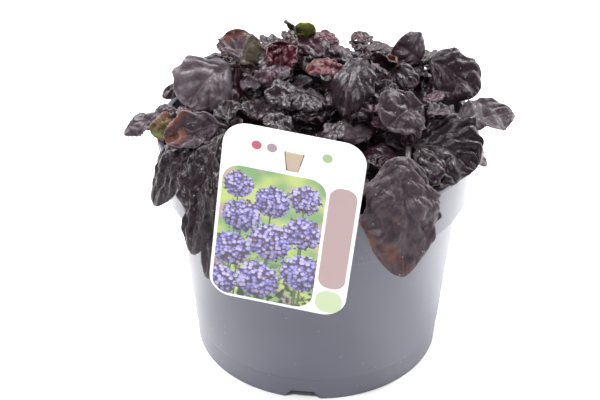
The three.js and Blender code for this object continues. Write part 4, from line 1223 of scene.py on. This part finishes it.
class Nodes:
    """Makes shader nodes in one tree and joins them up. An input is a number, a colour or another node's
    output."""

    def __init__(self, tree):
        self.tree = tree

    def feed(self, socket, value):
        if isinstance(value, bpy.types.NodeSocket):
            self.tree.links.new(value, socket)
        else:
            socket.default_value = value

    def add(self, kind, inputs=None, **settings):
        node = self.tree.nodes.new("ShaderNode" + kind)
        for key, value in settings.items():
            setattr(node, key, value)
        for key, value in (inputs or {}).items():
            self.feed(node.inputs[key], value)
        return node

    def math(self, operation, a, b=0.0):
        return self.add("Math", {0: a, 1: b}, operation=operation).outputs[0]

    def times(self, a, b):
        return self.math("MULTIPLY", a, b)

    def minus(self, a, b):
        return self.math("SUBTRACT", a, b)

    def under(self, value, limit):
        return self.math("LESS_THAN", value, limit)

    def grey(self, value):
        return self.add("CombineColor", {0: value, 1: value, 2: value}).outputs[0]

    def channels(self, colour):
        return self.add("SeparateColor", {0: colour}).outputs

    def eased(self, value, low, high, start=0.0, end=1.0):
        inputs = {"Value": value, "From Min": low, "From Max": high, "To Min": start, "To Max": end}
        return self.add("MapRange", inputs, interpolation_type="SMOOTHSTEP").outputs["Result"]

    def mix(self, share, a, b, how="MIX"):
        node = self.add("Mix", {0: share, 6: a, 7: b}, data_type="RGBA", blend_type=how)
        return node.outputs[2]

    def noise(self, place, scale, detail=2.0, rough=0.5):
        inputs = {"Vector": place, "Scale": scale, "Detail": detail, "Roughness": rough}
        return self.add("TexNoise", inputs).outputs[0]

    def cells(self, place, scale, **settings):
        return self.add("TexVoronoi", {"Vector": place, "Scale": scale}, **settings)

    def attribute(self, name):
        return self.add("Attribute", attribute_name=name)

    def place(self):
        return self.add("TexCoord").outputs["Object"]

    def group(self, tree, inputs):
        node = self.add("Group", node_tree=tree)
        for key, value in inputs.items():
            self.feed(node.inputs[key], value)
        return node.outputs


def node_group(name, inputs, outputs):
    """An empty node group with its inputs, as name and usual value, and its outputs."""
    tree = bpy.data.node_groups.new(name, "ShaderNodeTree")
    for key, value in inputs.items():
        socket = tree.interface.new_socket(key, in_out="INPUT", socket_type="NodeSocketFloat")
        socket.default_value = value
    for key in outputs:
        tree.interface.new_socket(key, in_out="OUTPUT", socket_type="NodeSocketFloat")
    entry = tree.nodes.new("NodeGroupInput")
    leave = tree.nodes.new("NodeGroupOutput")
    return Nodes(tree), entry.outputs, leave.inputs


def make_specks():
    """Fine pale specks: the middles of some cells of a cell pattern, more of them where Amount is higher."""
    nodes, given, result = node_group("specks", {"Scale": 900, "Amount": 0.1, "Size": 0.2}, ["Mask"])
    cells = nodes.cells(nodes.place(), given["Scale"])
    chosen = nodes.under(nodes.channels(cells.outputs["Color"])[0], given["Amount"])
    near = nodes.under(cells.outputs["Distance"], given["Size"])
    nodes.feed(result["Mask"], nodes.times(chosen, near))
    return nodes.tree


def make_grain():
    """The skin of moulded plastic: a fine even grain, with slow changes of tone over the piece."""
    nodes, given, result = node_group("moulded_grain", {"Scale": 2500}, ["Height", "Tone"])
    place = nodes.place()
    fine = nodes.noise(place, given["Scale"], 3)
    slow = nodes.noise(place, 18, 3)
    nodes.feed(result["Height"], fine)
    nodes.feed(result["Tone"], nodes.eased(slow, 0.3, 0.7))
    return nodes.tree


def new_material(name, roughness, coat=0.0, coat_roughness=0.2, level=0.5):
    """A material of one shader, with a maker of nodes for it and the shader's inputs."""
    material = bpy.data.materials.new(name)
    material.use_nodes = True
    shader = material.node_tree.nodes["Principled BSDF"]
    shader.inputs["Roughness"].default_value = roughness
    shader.inputs["Coat Weight"].default_value = coat
    shader.inputs["Coat Roughness"].default_value = coat_roughness
    shader.inputs["Specular IOR Level"].default_value = level
    return material, Nodes(material.node_tree), shader.inputs


def bump(nodes, height, strength, distance):
    """The normal of a surface raised by height, at most by distance in metres."""
    return nodes.add("Bump", {"Height": height, "Strength": strength, "Distance": distance}).outputs["Normal"]


def leaf_material(specks):
    """Leathery leaf: the tint of the mesh, mottled, with paler veins, a thin painted highlight along the edge
    and specks. A tint with more red in it is duller, and fine bumps, pores and sunken veins break the gloss."""
    material, nodes, shader = new_material("dark_leaf", 0.4, level=0.26)
    place = nodes.place()
    tint = nodes.attribute("tint")
    veins = nodes.add("SeparateXYZ", {0: nodes.attribute("veins").outputs["Vector"]}).outputs
    on_blade = tint.outputs["Alpha"]

    mottle = nodes.noise(place, 260, 4, 0.6)
    tone = nodes.grey(nodes.eased(mottle, 0.3, 0.72, 0.72, 1.3))
    base = nodes.mix(1.0, tint.outputs["Color"], tone, "MULTIPLY")

    apart = nodes.math("PINGPONG", veins["X"], 0.5)
    side_line = nodes.eased(apart, 0.025, 0.09, 1, 0)
    mid_line = nodes.eased(veins["Y"], 0.3, 0.8, 1, 0)
    line = nodes.math("MAXIMUM", nodes.times(side_line, 0.6), mid_line)
    line = nodes.times(line, on_blade)
    line = nodes.times(line, nodes.eased(nodes.noise(place, 120, 2), 0.35, 0.6, 0.3, 0.9))
    base = nodes.mix(nodes.times(line, 0.22), base, paint(120, 92, 100))

    # A thin pale line along the leaf's edge, broken by noise: a painted highlight where the curled edge
    # catches the light
    highlight_breaks = nodes.eased(nodes.noise(place, 160, 3), 0.35, 0.65, 0.15, 1)
    edge = nodes.times(nodes.eased(veins["Z"], 0.15, 0.7, 1, 0), highlight_breaks)
    edge = nodes.times(edge, on_blade)
    base = nodes.mix(nodes.times(edge, 0.5), base, paint(140, 122, 126))

    dust = nodes.group(specks, {"Scale": 800, "Amount": 0.035, "Size": 0.24})["Mask"]
    base = nodes.mix(nodes.times(dust, 0.5), base, paint(205, 195, 195))
    nodes.feed(shader["Base Color"], base)

    dull = nodes.eased(nodes.channels(tint.outputs["Color"])[0], 0.012, 0.045, 0, 0.11)
    rough = nodes.eased(nodes.noise(place, 300, 3), 0.25, 0.75, 0.2, 0.34)
    nodes.feed(shader["Roughness"], nodes.math("ADD", rough, dull))
    skin = nodes.cells(place, 620, feature="SMOOTH_F1").outputs["Distance"]
    pores = nodes.noise(place, 2100, 3, 0.6)
    height = nodes.math("ADD", nodes.times(skin, -1.0), nodes.times(pores, 0.6))
    height = nodes.minus(height, nodes.times(line, 0.5))
    nodes.feed(shader["Normal"], bump(nodes, height, 0.45, 0.0005))
    return material


def pot_material(grain, specks):
    """Slate-grey satin plastic with a fine grain, slow clouds of tone and a little pale dust."""
    material, nodes, shader = new_material("pot_plastic", 0.42, coat=0.3)
    skin = nodes.group(grain, {"Scale": 2600})
    base = nodes.mix(skin["Tone"], paint(82, 82, 97), paint(89, 89, 104))
    dust = nodes.group(specks, {"Scale": 420, "Amount": 0.06, "Size": 0.16})["Mask"]
    base = nodes.mix(nodes.times(dust, 0.25), base, paint(190, 190, 195))
    nodes.feed(shader["Base Color"], base)
    nodes.feed(shader["Roughness"], nodes.eased(skin["Tone"], 0, 1, 0.38, 0.47))
    nodes.feed(shader["Normal"], bump(nodes, skin["Height"], 0.25, 0.0002))
    return material


def soil_material(specks):
    """Dark peat of black and brown grains, with a few pale grits."""
    material, nodes, shader = new_material("potting_soil", 0.95, level=0.25)
    place = nodes.place()
    grains = nodes.noise(place, 700, 5, 0.7)
    base = nodes.mix(nodes.eased(grains, 0.35, 0.65), paint(28, 21, 17), paint(62, 47, 37))
    grit = nodes.group(specks, {"Scale": 330, "Amount": 0.07, "Size": 0.3})["Mask"]
    base = nodes.mix(nodes.times(grit, 0.6), base, paint(150, 135, 115))
    nodes.feed(shader["Base Color"], base)
    nodes.feed(shader["Normal"], bump(nodes, grains, 0.9, 0.0012))
    return material


def peg_material(grain):
    """Beige plastic with a faint mould grain."""
    material, nodes, shader = new_material("peg_plastic", 0.5)
    skin = nodes.group(grain, {"Scale": 3000})
    base = nodes.mix(skin["Tone"], paint(178, 161, 141), paint(188, 171, 151))
    nodes.feed(shader["Base Color"], base)
    nodes.feed(shader["Normal"], bump(nodes, skin["Height"], 0.2, 0.0002))
    return material


def within(nodes, x, z, box, corner):
    """Whether a point lies in a rectangle with round corners: left, bottom, right and top in millimetres."""
    left, bottom, right, top = box
    away = []
    for value, low, high in ((x, left, right), (z, bottom, top)):
        off = nodes.math("ABSOLUTE", nodes.minus(value, (low + high) / 2))
        away.append(nodes.math("MAXIMUM", nodes.minus(off, (high - low) / 2 - corner), 0.0))
    squares = [nodes.times(one, one) for one in away]
    distance = nodes.math("SQRT", nodes.math("ADD", *squares))
    return nodes.under(distance, corner)


def florets(nodes, flat, scale):
    """Small violet flowers, one to a cell of a flat cell pattern: pale or deep by the cell's draw, paler in
    the middle and nearly black in the gaps between."""
    bent = nodes.add("TexNoise", {"Vector": flat, "Scale": 1.4, "Detail": 2.0}).outputs["Color"]
    flat = nodes.add("VectorMath", {0: flat, 1: bent}, operation="ADD").outputs["Vector"]
    cells = nodes.cells(flat, scale, voronoi_dimensions="2D")
    chance, other, _ = nodes.channels(cells.outputs["Color"])
    shade = nodes.mix(nodes.eased(chance, 0.1, 0.9), paint(92, 82, 152), paint(140, 134, 198))
    shade = nodes.mix(nodes.math("GREATER_THAN", other, 0.72), shade, paint(170, 160, 206))
    shade = nodes.mix(nodes.under(other, 0.12), shade, paint(92, 66, 92))
    away = cells.outputs["Distance"]
    shade = nodes.mix(nodes.eased(away, 0.28, 0.05, 0, 0.5), shade, paint(196, 190, 224))
    return nodes.mix(nodes.eased(away, 0.42, 0.62), shade, paint(66, 58, 82))


def flower_heads(nodes, flat, x, z, picture):
    """Round heads of small flowers on thin stalks, nearer ones over farther ones. A head is where the
    distance to its centre, made ragged by noise, is under its radius, and it is darker towards its foot."""
    ragged = nodes.times(nodes.minus(nodes.noise(flat, 0.5, 3), 0.5), 0.9)
    for across, up, radius, scale in HEADS:
        stalk = nodes.under(nodes.math("ABSOLUTE", nodes.minus(x, across)), 0.05 * radius)
        stalk = nodes.times(stalk, nodes.under(z, up))
        picture = nodes.mix(stalk, picture, paint(74, 92, 52))
        apart = nodes.add("VectorMath", {0: flat, 1: (across, up, 0)}, operation="DISTANCE").outputs["Value"]
        inside = nodes.under(nodes.math("ADD", nodes.math("DIVIDE", apart, radius), ragged), 1.0)
        height = nodes.math("DIVIDE", nodes.minus(z, up), radius)
        shadow = nodes.grey(nodes.eased(height, -1, 0.4, 0.55, 1.1))
        head = nodes.mix(1.0, florets(nodes, flat, scale), shadow, "MULTIPLY")
        picture = nodes.mix(inside, picture, head)
    return picture


def card_material(grain):
    """Glossy printed card: a bare white head with three round dots, a panel of round violet flower heads over
    soft green, and plain bands of mauve and pale green. The back is bare."""
    material, nodes, shader = new_material("label_print", 0.3, coat=0.3, coat_roughness=0.12)
    printed = nodes.attribute("print").outputs["Vector"]
    x, z, front = nodes.add("SeparateXYZ", {0: printed}).outputs
    flat = nodes.add("CombineXYZ", {"X": x, "Y": z}).outputs[0]
    white = paint(240, 239, 236)

    glow = nodes.eased(nodes.noise(flat, 0.055, 1), 0.38, 0.6)
    picture = nodes.mix(glow, paint(116, 152, 98), paint(174, 190, 108))
    blot = nodes.eased(nodes.noise(flat, 0.08, 0), 0.56, 0.7)
    picture = nodes.mix(nodes.times(blot, 0.55), picture, paint(186, 132, 160))
    low = nodes.times(nodes.eased(z, -14, -44), nodes.eased(nodes.noise(flat, 0.3, 2), 0.4, 0.6))
    picture = nodes.mix(low, picture, paint(40, 48, 40))
    picture = flower_heads(nodes, flat, x, z, picture)

    base = white
    for box, corner, ink in PRINT:
        base = nodes.mix(within(nodes, x, z, box, corner), base, paint(*ink) if ink else picture)
    base = nodes.mix(front, white, base)
    nodes.feed(shader["Base Color"], base)
    skin = nodes.group(grain, {"Scale": 1500})
    nodes.feed(shader["Normal"], bump(nodes, skin["Height"], 0.05, 0.0001))
    return material


# The stage: camera, floor and light

def make_camera():
    """A camera in front and above, level from side to side, at the photograph's angle."""
    elevation = CAMERA["elevation"] * DEGREE
    lens = bpy.data.cameras.new("camera")
    lens.lens = CAMERA["lens"]
    lens.sensor_width = CAMERA["sensor"]
    camera = put("camera", lens)
    away = CAMERA["distance"] * Vector((0, -math.cos(elevation), math.sin(elevation)))
    camera.location = Vector(CAMERA["target"]) * MM + away
    camera.rotation_euler = (math.pi / 2 - elevation, 0, 0)
    bpy.context.scene.camera = camera


def make_floor():
    """A plain pale floor just under the pot."""
    reach = FLOOR["reach"]
    sides = ((-1, -1), (1, -1), (1, 1), (-1, 1))
    corners = [(x * reach, y * reach, -FLOOR["below"]) for x, y in sides]
    floor = put_mesh("floor", {"points": corners, "faces": [(0, 1, 2, 3)]})
    material, _, shader = new_material("floor", 0.9, level=0.1)
    shader["Base Color"].default_value = (0.92, 0.92, 0.92, 1)
    floor.data.materials.append(material)


def make_light():
    """An even pale room, one wide soft light from above, and soft lamps at the sides and behind, which make
    the floor bright enough for the pot's sides to fade into it."""
    scene = bpy.context.scene
    scene.view_settings.view_transform = "Standard"
    world = bpy.data.worlds.new("room")
    world.use_nodes = True
    world.node_tree.nodes["Background"].inputs["Color"].default_value = (1, 1, 1, 1)
    world.node_tree.nodes["Background"].inputs["Strength"].default_value = ROOM_LIGHT
    scene.world = world

    sun = bpy.data.lights.new("above", "SUN")
    sun.energy = SUN["strength"]
    sun.angle = SUN["angle"] * DEGREE
    put("above", sun).rotation_euler = [turn * DEGREE for turn in SUN["turn"]]
    for name, (place, aim, power) in LAMPS.items():
        light = bpy.data.lights.new(name, "AREA")
        light.size = LAMP_SIZE
        light.energy = power
        lamp = put(name, light)
        lamp.location = place
        lamp.rotation_euler = (Vector(aim) - lamp.location).to_track_quat("-Z", "Y").to_euler()


make_camera()
make_floor()
make_light()

specks = make_specks()
grain = make_grain()
make_pot(pot_material(grain, specks))
make_soil(soil_material(specks))
make_card(card_material(grain))
make_peg(peg_material(grain))
make_shoots(leaf_material(specks))
